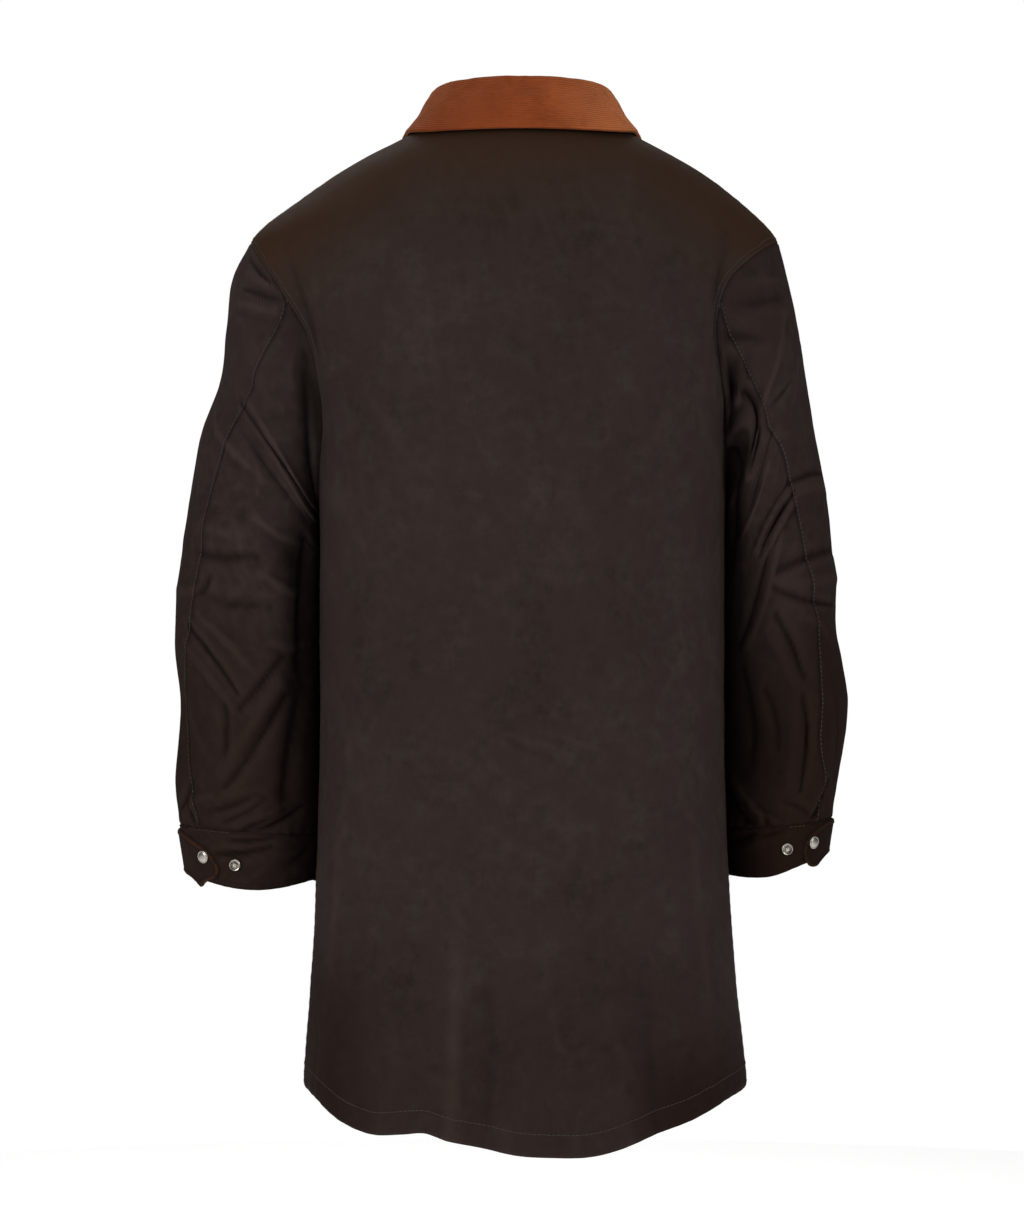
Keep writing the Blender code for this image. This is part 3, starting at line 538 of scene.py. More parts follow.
# Folds and creases of each sleeve: from and to, as an angle round it and a share of its length
SLEEVE_FOLDS = {
    1: read_folds(
        # Behind the upper arm
        (60, 0.224, 176, 0.085, 10, 17, 5, -0.1),
        (62, 0.243, 168, 0.112, 9, 6.5, -4.8, 0),
        (86, 0.016, 152, 0.046, 3, 11, -10, 0),
        (112, 0.225, 164, 0.165, 4, 13, 4, -0.1),
        (72, 0.285, 130, 0.255, 4, 12, -4, 0),
        (36, 0.33, 84, 0.318, 4, 12, 2.6, -0.3),
        # The deep pocket at the elbow, and what crosses it
        (144, 0.33, 138, 0.565, -4, 16, -14, -0.35),
        (104, 0.472, 144, 0.455, 2, 7, 3.6, 0.2),
        (114, 0.566, 150, 0.535, 2, 8, 3.4, -0.3),
        (96, 0.392, 132, 0.352, 3, 9, 3.6, -0.3),
        (44, 0.498, 93, 0.455, 4, 8, -5, 0.3),
        (36, 0.47, 88, 0.428, 4, 14, 2.8, -0.3),
        (60, 0.545, 106, 0.512, 3, 12, -4.2, 0),
        (50, 0.548, 59, 0.52, 1, 4, -2.8, 0),
        (12, 0.56, 46, 0.545, 3, 8, 3, 0),
        # Forearm
        (42, 0.602, 84, 0.668, -4, 4.5, -5, 0.3),
        (40, 0.632, 78, 0.694, -3, 8, 4, 0),
        (56, 0.582, 96, 0.622, -3, 9, 3.6, 0),
        (121, 0.584, 87, 0.692, -2, 4.8, -6.2, 0.2),
        (126, 0.612, 98, 0.69, -2, 8, 4.8, 0),
        (123, 0.648, 77, 0.812, -3, 4.8, -6.2, 0.3),
        (117, 0.628, 73, 0.788, -3, 8, 5, 0),
        (75, 0.69, 76, 0.775, 1, 4.5, -3.4, 0.3),
        (140, 0.625, 122, 0.838, 3, 14, -7.5, -0.3),
        (30, 0.7, 62, 0.78, 3, 10, 2.4, 0),
        (84, 0.898, 122, 0.836, 3, 9, 5, -0.3),
        (64, 0.868, 98, 0.822, 2, 8, -3, 0),
        (60, 0.84, 30, 0.885, 3, 8, 3, 0),
        (20, 0.88, 44, 0.82, 2, 6, -2.8, 0),
        (90, 0.9, 110, 0.866, 1, 4.5, -4, 0.2),
        (94, 0.912, 140, 0.834, 3, 5, -5, 0.3),
        (76, 0.888, 106, 0.828, 2, 5, -2.6, 0),
        (35, 0.856, 43, 0.912, 1, 4.5, -5, 0),
        # Pulls at the top of the armhole
        (32, 0.04, 54, 0.004, 1, 5, 3.4, 0),
        (38, 0.06, 56, 0.006, 1, 4, -3.4, 0),
        (26, 0.018, 51, 0.004, 1, 4, -3.4, 0),
        (44, 0.085, 60, 0.03, 1, 5, 3, 0),
        # In front of the arm
        (-36, 0.33, -108, 0.225, -6, 15, 6.5, 0.3),
        (-92, 0.42, -150, 0.38, -5, 14, -9.5, 0),
        (-100, 0.35, -150, 0.31, -4, 11, 5, 0.3),
        (-26, 0.52, -90, 0.47, -4, 8, -5.5, 0),
        (-30, 0.48, -96, 0.43, -4, 10, 4.5, 0.4),
        (-114, 0.575, -50, 0.69, 6, 11, 6.8, -0.3),
        (-102, 0.7, -44, 0.83, 4, 6, -5.8, 0),
        (-120, 0.69, -80, 0.8, 4, 11, 4.5, 0),
        (-130, 0.81, -60, 0.88, 4, 8, 4.5, 0.3),
        (-118, 0.85, -70, 0.898, 3, 6, -4, 0),
        (-34, 0.06, -50, 0.014, 1, 6, 2.6, 0),
        (-44, 0.08, -62, 0.02, 1, 5, -2.6, 0),
    ),
    -1: read_folds(
        # Pushed-up folds under the arm
        (84, 0.016, 112, 0.018, 3, 6, -10.5, 0),
        (85, 0.006, 79, 0.036, 2, 5, 6, 0),
        (80, 0.04, 110, 0.01, 6, 5, 7.8, -0.2),
        (95, 0.03, 112, 0.118, 6, 6, -12, 0),
        (120, 0.01, 107, 0.085, 5, 6, 8.5, 0),
        (128, 0.012, 134, 0.108, 4, 8, -10, 0),
        (144, 0.03, 152, 0.372, 4, 16, -9, -0.3),
        (78, 0.008, 68, 0.062, 3, 5, -3.4, 0),
        (122, 0.108, 114, 0.21, -5, 8, 7, 0),
        (104, 0.11, 112, 0.17, 4, 6, -6, 0),
        # Behind the upper arm
        (50, 0.094, 95, 0.096, 6, 11, 4, -0.3),
        (56, 0.192, 82, 0.148, 3, 6, -3.4, 0),
        (30, 0.16, 58, 0.245, 4, 12, 2.6, 0),
        (86, 0.205, 120, 0.3, -4, 12, -3.2, 0),
        (100, 0.27, 134, 0.33, 4, 10, 4, 0),
        # Elbow
        (75, 0.364, 16, 0.413, -2, 4.8, -4, 0.3),
        (76, 0.386, 16, 0.438, -2, 9, 3.4, 0),
        (73, 0.375, 115, 0.403, -6, 5, 6.2, 0),
        (73, 0.389, 111, 0.42, -5, 4, -4.8, 0),
        (72, 0.402, 108, 0.437, -4, 5, 5, 0),
        (97, 0.474, 6, 0.509, -2, 5.5, -5.2, 0.3),
        (98, 0.496, 12, 0.546, -3, 9, 4.6, 0.3),
        (104, 0.486, 30, 0.582, -4, 5, -4.6, 0),
        (102, 0.424, 137, 0.542, 3, 6, -5.6, -0.2),
        (91, 0.432, 127, 0.548, 3, 9, 5.4, 0),
        # Forearm
        (99, 0.536, 75, 0.666, 2, 4.8, -6.2, 0.2),
        (107, 0.556, 85, 0.668, 2, 9, 4.4, 0),
        (70, 0.57, 40, 0.64, 3, 10, 3.2, 0),
        (78, 0.698, 75, 0.824, 2, 4.5, -6, 0.2),
        (90, 0.7, 88, 0.815, 2, 9, 4, 0),
        (110, 0.664, 101, 0.754, 2, 6, -3.4, 0),
        (134, 0.61, 126, 0.76, 3, 12, -6, -0.3),
        (40, 0.72, 30, 0.8, 2, 11, -3, 0),
        (178, 0.772, 125, 0.897, 2, 9, -6.6, 0),
        (160, 0.764, 111, 0.882, 3, 9, 5.4, -0.3),
        (140, 0.84, 96, 0.9, 3, 6, 3.6, -0.3),
        (88, 0.85, 60, 0.892, 2, 7, -2.8, 0),
        (40, 0.824, 58, 0.912, 2, 4.5, -6, 0),
        (118, 0.846, 106, 0.906, 3, 5, -3.6, 0),
        # Pulls at the top of the armhole
        (30, 0.06, 48, 0.014, 1, 6, 2.4, 0),
        (40, 0.07, 58, 0.02, 1, 5, -2.4, 0),
        # In front of the arm
        (-40, 0.34, -108, 0.25, -6, 15, 6.5, 0.3),
        (-92, 0.43, -148, 0.4, -5, 14, -9.5, 0),
        (-98, 0.36, -150, 0.33, -4, 11, 5, 0.3),
        (-24, 0.55, -86, 0.5, -4, 8, -5.5, 0),
        (-30, 0.505, -92, 0.455, -4, 10, 4.5, 0.4),
        (-118, 0.595, -54, 0.705, 6, 11, 6.8, -0.3),
        (-98, 0.73, -40, 0.84, 4, 6, -5.8, 0),
        (-124, 0.7, -84, 0.81, 4, 11, 4.5, 0),
        (-128, 0.82, -62, 0.884, 4, 8, 4.5, 0.3),
    ),
}

# Creases of each cuff: from and to, as an angle round it and a share of its height
CUFF_FOLDS = {
    1: read_folds(
        (66, 0.45, 108, 0.27, 2, 5, -4.4, 0.2),
        (74, 0.32, 114, 0.12, 2, 6, 2.6, 0),
        (80, 0.19, 116, 0.08, 1, 4.5, -3.4, 0),
        (124, 0.6, 150, 0.2, 2, 8, -2.4, 0),
    ),
    -1: read_folds(
        (118, 0.12, 152, 0.3, 2, 6, -3.4, 0),
        (92, 0.1, 112, 0.2, 1, 4.5, -2.4, 0),
        (112, 0.3, 146, 0.46, 2, 7, 1.8, 0),
    ),
}

# Collar sections from the centre back to the front end
COLLAR = read_table(
    ("turn_deg", "stand", "lean", "edge_drop", "edge_clear", "bulge"),
    (0, 0.0350, -0.0020, 0.0545, 0.0060, 0.0030),
    (45, 0.0345, -0.0060, 0.0520, 0.0040, 0.0010),
    (90, 0.0315, -0.0115, 0.0410, 0.0014, -0.0015),
    (120, 0.0290, -0.0080, 0.0520, 0.0025, 0.0020),
    (150, 0.0260, -0.0050, 0.0680, 0.0040, 0.0040),
    (180, 0.0230, -0.0020, 0.0780, 0.0050, 0.0045),
)

# What each kind of edge does to the cloth beside it: how far and how high a turned or stitched layer
# lifts it, the puckers' height and length, and how much paler (above 0) or darker (below 0) it turns
EDGES = {
    "felled": (FELL, 0.0002, 0.00035, 0.011, -0.5),
    "plain": (0.004, 0.0, 0.00030, 0.010, -0.7),
    "gathered": (0.006, 0.0002, 0.00110, 0.014, -0.5),
    "hem": (HEM_FOLD, 0.0003, 0.00035, 0.016, 0.4),
    "placket": (0.032, 0.0005, 0.00012, 0.019, 0.8),
    "hidden": (0.004, 0.0, 0.0, 0.010, 0.0),
}

# Turned outlines of a press stud's cap and of the open stud on a cuff, from the middle outwards
CAP_OUTLINE = read_table(
    ("radius", "height"),
    (0.0, 0.00205),
    (0.0018, 0.00200),
    (0.0034, 0.00178),
    (0.0043, 0.00150),
    (0.0046, 0.00124),
    (0.0049, 0.00128),
    (0.0054, 0.00148),
    (0.0058, 0.00125),
    (0.0060, 0.00070),
    (0.0058, 0.0),
    (0.0, 0.0),
)
OPEN_STUD_OUTLINE = read_table(
    ("radius", "height"),
    (0.0, 0.0020),
    (0.0012, 0.0021),
    (0.0018, 0.0019),
    (0.0020, 0.0014),
    (0.0018, 0.0006),
    (0.0020, 0.0003),
    (0.0037, 0.0003),
    (0.0039, 0.0008),
    (0.0042, 0.0017),
    (0.0049, 0.0019),
    (0.0056, 0.0013),
    (0.0058, 0.0005),
    (0.0057, 0.0),
    (0.0, 0.0),
)
RECESS = 0.0007  # rings of the open stud that lie lower and further in than this are dark
RECESS_RADIUS = 0.005

# Helpers


def smooth_at(keys, values, where):
    """Values read between keys, on a smooth curve through them."""
    where = np.asarray(where, float)
    values = np.asarray(values, float)
    step = np.diff(keys)
    wide = step.reshape((-1,) + (1,) * (values.ndim - 1))
    rise = np.diff(values, axis=0) / wide
    middle = (rise[:-1] * wide[1:] + rise[1:] * wide[:-1]) / (wide[:-1] + wide[1:])
    slope = np.concatenate([rise[:1], middle, rise[-1:]])
    i = np.clip(np.searchsorted(keys, where, "right") - 1, 0, len(keys) - 2)

    def pick(array, index):
        if array.ndim == 1:
            return array[index]
        return np.take_along_axis(array, index[None], axis=0)[0]

    long = step[i]
    s = (where - np.asarray(keys)[i]) / long
    start, end = pick(values, i), pick(values, i + 1)
    start_slope, end_slope = pick(slope, i) * long, pick(slope, i + 1) * long
    return (
        start * (1 + 2 * s) * (1 - s) ** 2
        + start_slope * s * (1 - s) ** 2
        + end * s**2 * (3 - 2 * s)
        + end_slope * s**2 * (s - 1)
    )


def ease(value):
    """0 below 0 and 1 above 1, with a soft start and end."""
    value = np.clip(value, 0, 1)
    return value * value * (3 - 2 * value)


def half_turn(angle):
    """The same angle between minus and plus half a turn."""
    return (angle + math.pi) % (2 * math.pi) - math.pi


def unit(vectors):
    return vectors / np.maximum(np.linalg.norm(vectors, axis=-1, keepdims=True), 1e-12)


def bell(away, reach):
    """1 at no distance, falling softly to 0 past this reach."""
    return np.exp(-((away / reach) ** 2))


def lumps(points, size, seed):
    """Smooth noise from -1 to 1 at points, with lumps of this size, or of three sizes."""
    where = points / np.asarray(size) + seed * SEED_SHIFT
    flat = [noise.noise(p) for p in where.reshape(-1, 3).tolist()]
    return np.array(flat).reshape(points.shape[:-1])


def folds_at(folds, turn, down, per_turn, per_down):
    """Summed height of a table's folds at a turn (radians) and a place down the cloth."""
    a, b = np.broadcast_arrays(turn * per_turn, down * per_down)
    total = np.zeros(a.shape)
    for k in range(len(folds["width"])):
        fold = {name: folds[name][k] for name in FOLD_COLUMNS}
        from_a = math.radians(fold["from_turn"]) * per_turn
        from_b = fold["from_down"] * per_down
        run_a = math.radians(fold["to_turn"]) * per_turn - from_a
        run_b = fold["to_down"] * per_down - from_b
        length = math.hypot(run_a, run_b)
        along = ((a - from_a) * run_a + (b - from_b) * run_b) / length**2
        share = np.clip(along, 0, 1)
        side = ((b - from_b) * run_a - (a - from_a) * run_b) / length
        side = side - 4 * fold["bow"] * share * (1 - share)
        width = fold["width"] * (1 + fold["lean"] * np.tanh(FLANK_TURN * side / fold["width"]))
        past = (along - share) * length / fold["width"]
        taper = np.sin(math.pi * (TAPER_END + (1 - 2 * TAPER_END) * share)) ** TAPER_POWER
        across = np.sqrt((side / width) ** 2 + CREST) - math.sqrt(CREST)
        total += fold["height"] * taper * np.exp(-FLANK_FALL * across - past**2)
    return total


def surface_normal(point_at, turn, down):
    """Normal of a surface of points, from its slopes round it and along it."""
    round_it = point_at(turn + STEP, down) - point_at(turn - STEP, down)
    along = point_at(turn, down + STEP) - point_at(turn, down - STEP)
    return unit(np.cross(along, round_it))


def lengths_along(line):
    """Length of a line of points up to each of them."""
    steps = np.linalg.norm(np.diff(line, axis=0), axis=1)
    return np.concatenate([[0], np.cumsum(steps)])


def at_lengths(where, lengths, values):
    """Points or normals between those of a line, at these lengths along it."""
    return np.stack([np.interp(where, lengths, values[:, k]) for k in range(3)], axis=1)


# Body surface


def body_section(z):
    return {name: smooth_at(BODY["z"], BODY[name], z) for name in BODY if name != "z"}


def body_reach(angle, z):
    """Distance from the body's axis to its smooth surface, at an angle from the centre back."""
    section = body_section(z)
    depth = np.where(np.cos(angle) >= 0, section["back_depth"], section["front_depth"])
    power = section["squareness"]
    across = np.abs(np.sin(angle) / section["half_width"]) ** power
    along = np.abs(np.cos(angle) / depth) ** power
    return (across + along) ** (-1 / power)


def body_point(angle, z):
    """Points of the body's outer surface, folds included."""
    angle, z = np.broadcast_arrays(angle, z)
    reach = body_reach(angle, z) + folds_at(BODY_FOLDS, angle, z, BODY_RADIUS, 1)
    sway = body_section(z)["sway"]
    return np.stack([sway + reach * np.sin(angle), reach * np.cos(angle), z], axis=-1)


def neck_level(angle):
    return -NECK_DROP_FRONT * np.maximum(0, -np.cos(angle)) ** NECK_DROP_POWER


def hem_z(angle):
    turn = np.clip(np.degrees(angle), -180, 180)
    return HEM_AT_SIDE - smooth_at(HEM["turn_deg"], HEM["drop"], turn)


def armhole_level(turn):
    middle = (ARMHOLE_TOP + ARMHOLE_BOTTOM) / 2
    return middle + (ARMHOLE_TOP - ARMHOLE_BOTTOM) / 2 * np.cos(turn)


def armhole_angle(side, turn):
    """Angle from the centre back, without its sign, of the armhole's edge."""
    section = body_section(armhole_level(turn))
    behind = ARMHOLE_BACK[side] + ARMHOLE_BACK_RISE[side] * np.cos(turn)
    y = np.where(np.sin(turn) >= 0, behind, ARMHOLE_FRONT) * np.sin(turn)
    depth = np.where(y >= 0, section["back_depth"], section["front_depth"])
    power = section["squareness"]
    x = section["half_width"] * (1 - np.abs(y / depth) ** power) ** (1 / power)
    return np.arctan2(x, y)


def armhole_point(side, turn):
    return body_point(side * armhole_angle(side, turn), armhole_level(turn))


# Sleeve surface


def sleeve_keys(side):
    return np.linspace(0, 1, len(SLEEVES[side]["outer_x"]) + 1)


def cuff_share(side):
    """Share of the sleeve's length at which the cuff starts."""
    return sleeve_keys(side)[-2]


def sleeve_rings(side, turn):
    """Points at the same angle on the armhole and on every section of the sleeve."""
    rings = [armhole_point(side, turn)]
    table = SLEEVES[side]
    for k in range(len(table["outer_x"])):
        ring = {name: table[name][k] for name in RING_COLUMNS}
        out = np.cos(turn)
        x = (ring["outer_x"] + ring["inner_x"]) / 2 + (ring["outer_x"] - ring["inner_x"]) / 2 * out
        y = ring["centre_y"] + ring["half_depth"] * np.sin(turn)
        z = (ring["outer_z"] + ring["inner_z"]) / 2 + (ring["outer_z"] - ring["inner_z"]) / 2 * out
        rings.append(np.stack([side * x, y, z], axis=-1))
    return np.stack(rings)


def sleeve_point(side, turn, share):
    """Points of the sleeve's outer surface, from the armhole (share 0) to the cuff's end (share 1)."""
    turn, share = np.broadcast_arrays(turn, share)
    share_xyz = np.repeat(share[..., None], 3, axis=-1)
    keys = sleeve_keys(side)
    point = smooth_at(keys, sleeve_rings(side, turn), share_xyz)
    opposite = smooth_at(keys, sleeve_rings(side, turn + math.pi), share_xyz)
    height = folds_at(SLEEVE_FOLDS[side], half_turn(turn), share, SLEEVE_RADIUS, SLEEVE_LENGTH)
    height = height * ease(share / ARMHOLE_FADE) * ease((cuff_share(side) - share) / CUFF_FADE)
    return point + height[..., None] * unit(point - opposite)


def sleeve_normal(side, turn, share):
    return side * surface_normal(lambda t, s: sleeve_point(side, t, s), turn, share)


def on_cuff(side, turn, drop, lift):
    """Points over the cuff: an angle round it, a distance below its top and a height off its face."""
    start = cuff_share(side)
    top = sleeve_point(side, turn, np.full_like(turn, start))
    end = sleeve_point(side, turn, np.ones_like(turn))
    share = start + (1 - start) * drop / np.linalg.norm(end - top, axis=-1)
    normal = sleeve_normal(side, turn, share)
    return sleeve_point(side, turn, share) + normal * lift, normal


# Collar surface


def off_body(angle, z, lift):
    """Radius and height of points off the body, square to its outline at their angle."""
    reach = body_reach(angle, z)
    slope = (body_reach(angle, z + STEP) - reach) / STEP
    scale = lift / np.hypot(1, slope)
    return reach + scale, z - slope * scale


def collar_section(angle, share):
    """Radius and height on the collar's right side: up the stand, over the roll and down the fall."""
    turn = np.degrees(np.abs(angle))
    c = {name: smooth_at(COLLAR["turn_deg"], COLLAR[name], turn) for name in COLLAR}
    neck_z = neck_level(angle)
    neck_r = body_reach(angle, neck_z) - COLLAR_CLOTH
    roll_r, roll_z = neck_r + c["lean"], neck_z + c["stand"]
    edge_r, edge_z = off_body(angle, roll_z - c["edge_drop"], COLLAR_CLOTH + c["edge_clear"])
    fall_r, fall_z = roll_r + ROLL_WIDTH, roll_z - ROLL_FALL
    points = (
        (neck_r, neck_z + COLLAR_SEAT),
        ((neck_r + roll_r) / 2, neck_z + c["stand"] / 2),
        (roll_r, roll_z - ROLL_RISE),
        (roll_r + ROLL_TOP * ROLL_WIDTH, roll_z),
        (fall_r, fall_z),
        ((fall_r + edge_r) / 2 + c["bulge"], (fall_z + edge_z) / 2 + c["bulge"] / 2),
        (edge_r, edge_z),
    )
    return [smooth_at(COLLAR_SHARES, np.stack(values), share) for values in zip(*points)]


def front_end(level):
    """Angle from the centre back at which a front ends, past the centre front."""
    return math.pi + FRONT_LAP / body_section(level)["front_depth"]


def collar_grid(share, lift):
    """Points of the collar at these shares of its section, moved off its right side by lift."""
    share = np.asarray(share)[:, None]
    seam = math.pi / 2
    end = seam + (front_end(-NECK_DROP_FRONT) - seam) * COLLAR_FRONT_SHARE
    end = end - COLLAR_POINT_BACK * ease((share - FALL_START) / (1 - FALL_START))
    angle = end * np.linspace(-1, 1, COLLAR_COLUMNS + 1)[None, :]
    share = np.broadcast_to(share, angle.shape)
    r, z = collar_section(angle, share)
    ahead_r, ahead_z = collar_section(angle, share + STEP)
    out = unit(np.stack([z - ahead_z, ahead_r - r], axis=-1))
    r = r + out[..., 0] * lift
    z = z + out[..., 1] * lift
    sway = body_section(neck_level(angle))["sway"]
    return np.stack([sway + r * np.sin(angle), r * np.cos(angle), z], axis=-1)


# Cloth


def grid_normals(points, outward, closed=False):
    """Normals of a grid of points, on the side that most of the outward directions point to."""
    if closed:
        points = np.concatenate([points[:, -1:], points, points[:, :1]], axis=1)
    normal = unit(np.cross(np.gradient(points, axis=0), np.gradient(points, axis=1)))
    if closed:
        normal = normal[:, 1:-1]
    return normal * np.sign((normal * outward).sum(-1).mean())


def beside(points, line):
    """Distance of points from a line of points, and how far along it they lie."""
    along = lengths_along(line)
    fine = np.linspace(0, along[-1], max(2, int(along[-1] / LINE_STEP)))
    dense = at_lengths(fine, along, line)
    tree = KDTree(len(dense))
    for k, point in enumerate(dense.tolist()):
        tree.insert(point, k)
    tree.balance()
    found = [tree.find(p)[1:] for p in points.reshape(-1, 3).tolist()]
    index, away = np.array(found).T
    shape = points.shape[:-1]
    return away.reshape(shape), fine[index.astype(int)].reshape(shape)


class Cloth:
    """One cloth piece: its outer points as a grid, and the inner ones that its thickness gives."""

    def __init__(self, points, outward, seed, closed=False):
        self.points = points
        self.closed = closed
        self.seed = seed
        self.outward = outward
        self.normals = grid_normals(points, outward, closed)
        level = np.zeros(points.shape[:2])
        self.height = level.copy()
        self.dents = level.copy()
        self.wear_and_shade = level.copy()
        self.binding = level.copy()
        self.painted_light_and_tint = level.copy()
        self.painted_shade = level.copy()
        self.thick = level + CLOTH

    def edge(self, line, kind):
        """Roll, lift and pucker the cloth beside one of its edges, and turn it paler or darker there."""
        reach, lift, pucker, wave, worn = EDGES[kind]
        away, along = beside(self.points, line)
        drift = lumps(np.stack([along, along * 0, along * 0], axis=-1), DRIFT_LENGTH, self.seed)
        ripple = np.cos(2 * math.pi * along / wave + DRIFT_TURN * drift)
        ripple = ripple * (PUCKER_SHARE + PUCKER_SWING * drift)
        self.height += lift * (1 - ease((away - reach) / LAYER_EASE))
        self.height += pucker * ripple * bell(away, PUCKER_REACH * reach)
        self.height -= ROLL_DEPTH * bell(away, ROLL_REACH)
        self.wear_and_shade += worn * bell(away, WORN_REACH)
        self.thick *= RIM_SHARE + (1 - RIM_SHARE) * ease(away / RIM_REACH)
        return self

    def crumple(self, kind, mask=1.0):
        """Small uneven dents with soft ridges between them."""
        depth, size = DENTS[kind]
        broad = 1 - 2 * np.abs(lumps(self.points, size, self.seed))
        fine = 1 - 2 * np.abs(lumps(self.points, FINE_SIZE * np.asarray(size), self.seed + 1))
        self.dents += depth * mask * (broad + FINE_DEPTH * fine)
        return self

    def painted_and_tinted(self, amount):
        """Turn the colour towards the material's second colours: painted shade, the collar's painted
        light, and the shoulders' rust.
        """
        self.painted_light_and_tint = self.painted_light_and_tint + amount
        return self

    def settle(self):
        """Move the outer points by the summed heights, and find the ridges, normals and inner points."""
        self.inner = self.points - self.normals * self.thick[..., None]
        dented = self.points + self.normals * self.dents[..., None]
        bend = np.zeros(self.points.shape[:2])
        for axis in (0, 1):
            gap = np.linalg.norm(np.gradient(dented, axis=axis), axis=-1)
            turn = np.gradient(np.gradient(dented, axis=axis), axis=axis)
            bend -= (turn * self.normals).sum(-1) / np.maximum(gap, BEND_STEP) ** 2
        # Paler wear on ridges; painted shade in hollows
        self.wear_and_shade = np.clip(self.wear_and_shade + np.clip(bend / FULL_BEND, HOLLOW_SHADE_LIMIT, RIDGE_LIMIT), *WEAR_LIMITS)
        self.points = dented + self.normals * self.height[..., None]
        self.normals = grid_normals(self.points, self.outward, self.closed)
        corners = np.arange(self.height.size).reshape(self.height.shape)
        quads = quads_of(corners, self.closed)
        self.tree = BVHTree.FromPolygons(self.points.reshape(-1, 3).tolist(), quads.tolist())
        return self

    def inset(self, line, inner, distance):
        """Points on the cloth this far from an edge, given by its index and that of a line further in."""
        edge, normal = self.points[line], self.normals[line]
        along = unit(np.gradient(edge, axis=0))
        across = unit(np.cross(normal, along))
        across = across * np.sign((across * (self.points[inner] - edge)).sum(-1, keepdims=True))
        return self.snap(edge + across * distance)

    def snap(self, guide):
        """The nearest points on the cloth, and the normals there."""
        found = [self.tree.find_nearest(Vector(p)) for p in guide.tolist()]
        return np.array([f[0] for f in found]), np.array([f[1] for f in found])


def quads_of(corners, closed=False):
    """Corner numbers of the faces over a grid of numbered points."""
    if closed:
        corners = np.concatenate([corners, corners[:, :1]], axis=1)
    faces = (corners[:-1, :-1], corners[:-1, 1:], corners[1:, 1:], corners[1:, :-1])
    return np.stack(faces, axis=-1).reshape(-1, 4)


def finish_mesh(name, points, faces, materials, slots=None):
    """An object from points and faces, its normals turned out and its edges shaded by angle."""
    mesh = bpy.data.meshes.new(name)
    mesh.from_pydata(points, [], faces)
    shape = bmesh.new()
    shape.from_mesh(mesh)
    bmesh.ops.recalc_face_normals(shape, faces=shape.faces)
    shape.to_mesh(mesh)
    shape.free()
    for material in materials:
        mesh.materials.append(material)
    if slots is not None:
        mesh.polygons.foreach_set("material_index", slots)
    mesh.shade_smooth()
    mesh.set_sharp_from_angle(angle=SHARP_ANGLE)
    thing = bpy.data.objects.new(name, mesh)
    bpy.context.scene.collection.objects.link(thing)
    return thing


def cloth_piece(name, cloth, materials):
    """A closed shell between a cloth's outer and inner points, with its wear and its cloth coordinates."""
    rows, columns = cloth.points.shape[:2]
    count = rows * columns
    corners = np.arange(count).reshape(rows, columns)
    face = quads_of(corners, cloth.closed)
    wrapped = np.concatenate([corners, corners[:, :1]], axis=1) if cloth.closed else corners
    rims = [wrapped[0], wrapped[-1]]
    if not cloth.closed:
        rims += [corners[:, 0], corners[:, -1]]
    sides = [np.stack([r[:-1], r[1:], r[1:] + count, r[:-1] + count], axis=-1) for r in rims]
    faces = np.concatenate([face, face[:, ::-1] + count, *sides])
    slots = np.zeros(len(faces), np.int32)
    slots[len(face) : 2 * len(face)] = len(materials) - 1
    points = np.concatenate([cloth.points.reshape(-1, 3), cloth.inner.reshape(-1, 3)])
    thing = finish_mesh(name, points.tolist(), faces.tolist(), materials, slots)
    mesh = thing.data
    for label in ("wear_and_shade", "binding", "painted_light_and_tint", "painted_shade"):
        values = getattr(cloth, label)
        layer = mesh.attributes.new(label, "FLOAT", "POINT")
        both = np.concatenate([values.ravel(), np.zeros(count)])
        layer.data.foreach_set("value", both.astype(np.float32))
    across = np.linalg.norm(np.diff(cloth.points, axis=1), axis=-1).mean(0)
    down = np.linalg.norm(np.diff(cloth.points, axis=0), axis=-1).mean(1)
    u = np.concatenate([[0], np.cumsum(across)])[None, :].repeat(rows, 0)
    v = np.concatenate([[0], np.cumsum(down)])[:, None].repeat(columns, 1)
    place = np.tile(np.stack([u, v], axis=-1).reshape(-1, 2), (2, 1))
    at_corner = np.zeros(len(mesh.loops), np.int32)
    mesh.loops.foreach_get("vertex_index", at_corner)
    layer = mesh.uv_layers.new(name="cloth")
    layer.data.foreach_set("uv", place[at_corner].astype(np.float32).ravel())
    return thing


def sewn(name, lines, material):
    """Stitches along lines of points with normals, as one mesh of short bent threads."""
    points, faces = [], []
    shares = np.linspace(0, 1, STITCH_RINGS)
    bow = np.sin(math.pi * shares)
    turn = np.arange(THREAD_SIDES) * 2 * math.pi / THREAD_SIDES
    for line, normals in lines:
        along = lengths_along(line)
        for start in np.arange(0, along[-1] - STITCH, STITCH_PITCH):
            at = start + shares * STITCH
            middle = at_lengths(at, along, line)
            up = unit(at_lengths(at, along, normals))
            forward = unit(np.gradient(middle, axis=0))
            aside = unit(np.cross(up, forward))
            middle = middle + up * (THREAD * (STITCH_ARCH * np.sqrt(bow) - STITCH_SINK))[:, None]
            radius = (THREAD * (STITCH_END + (1 - STITCH_END) * bow))[:, None, None]
            ring = np.cos(turn)[:, None] * up[:, None] + np.sin(turn)[:, None] * aside[:, None]
            first = len(points)
            points += (middle[:, None] + radius * ring).reshape(-1, 3).tolist()
            corners = first + np.arange(len(shares) * THREAD_SIDES).reshape(len(shares), THREAD_SIDES)
            faces += quads_of(corners, True).tolist()
            faces += [corners[0].tolist(), corners[-1].tolist()]
    return finish_mesh(name, points, faces, [material])


# Materials


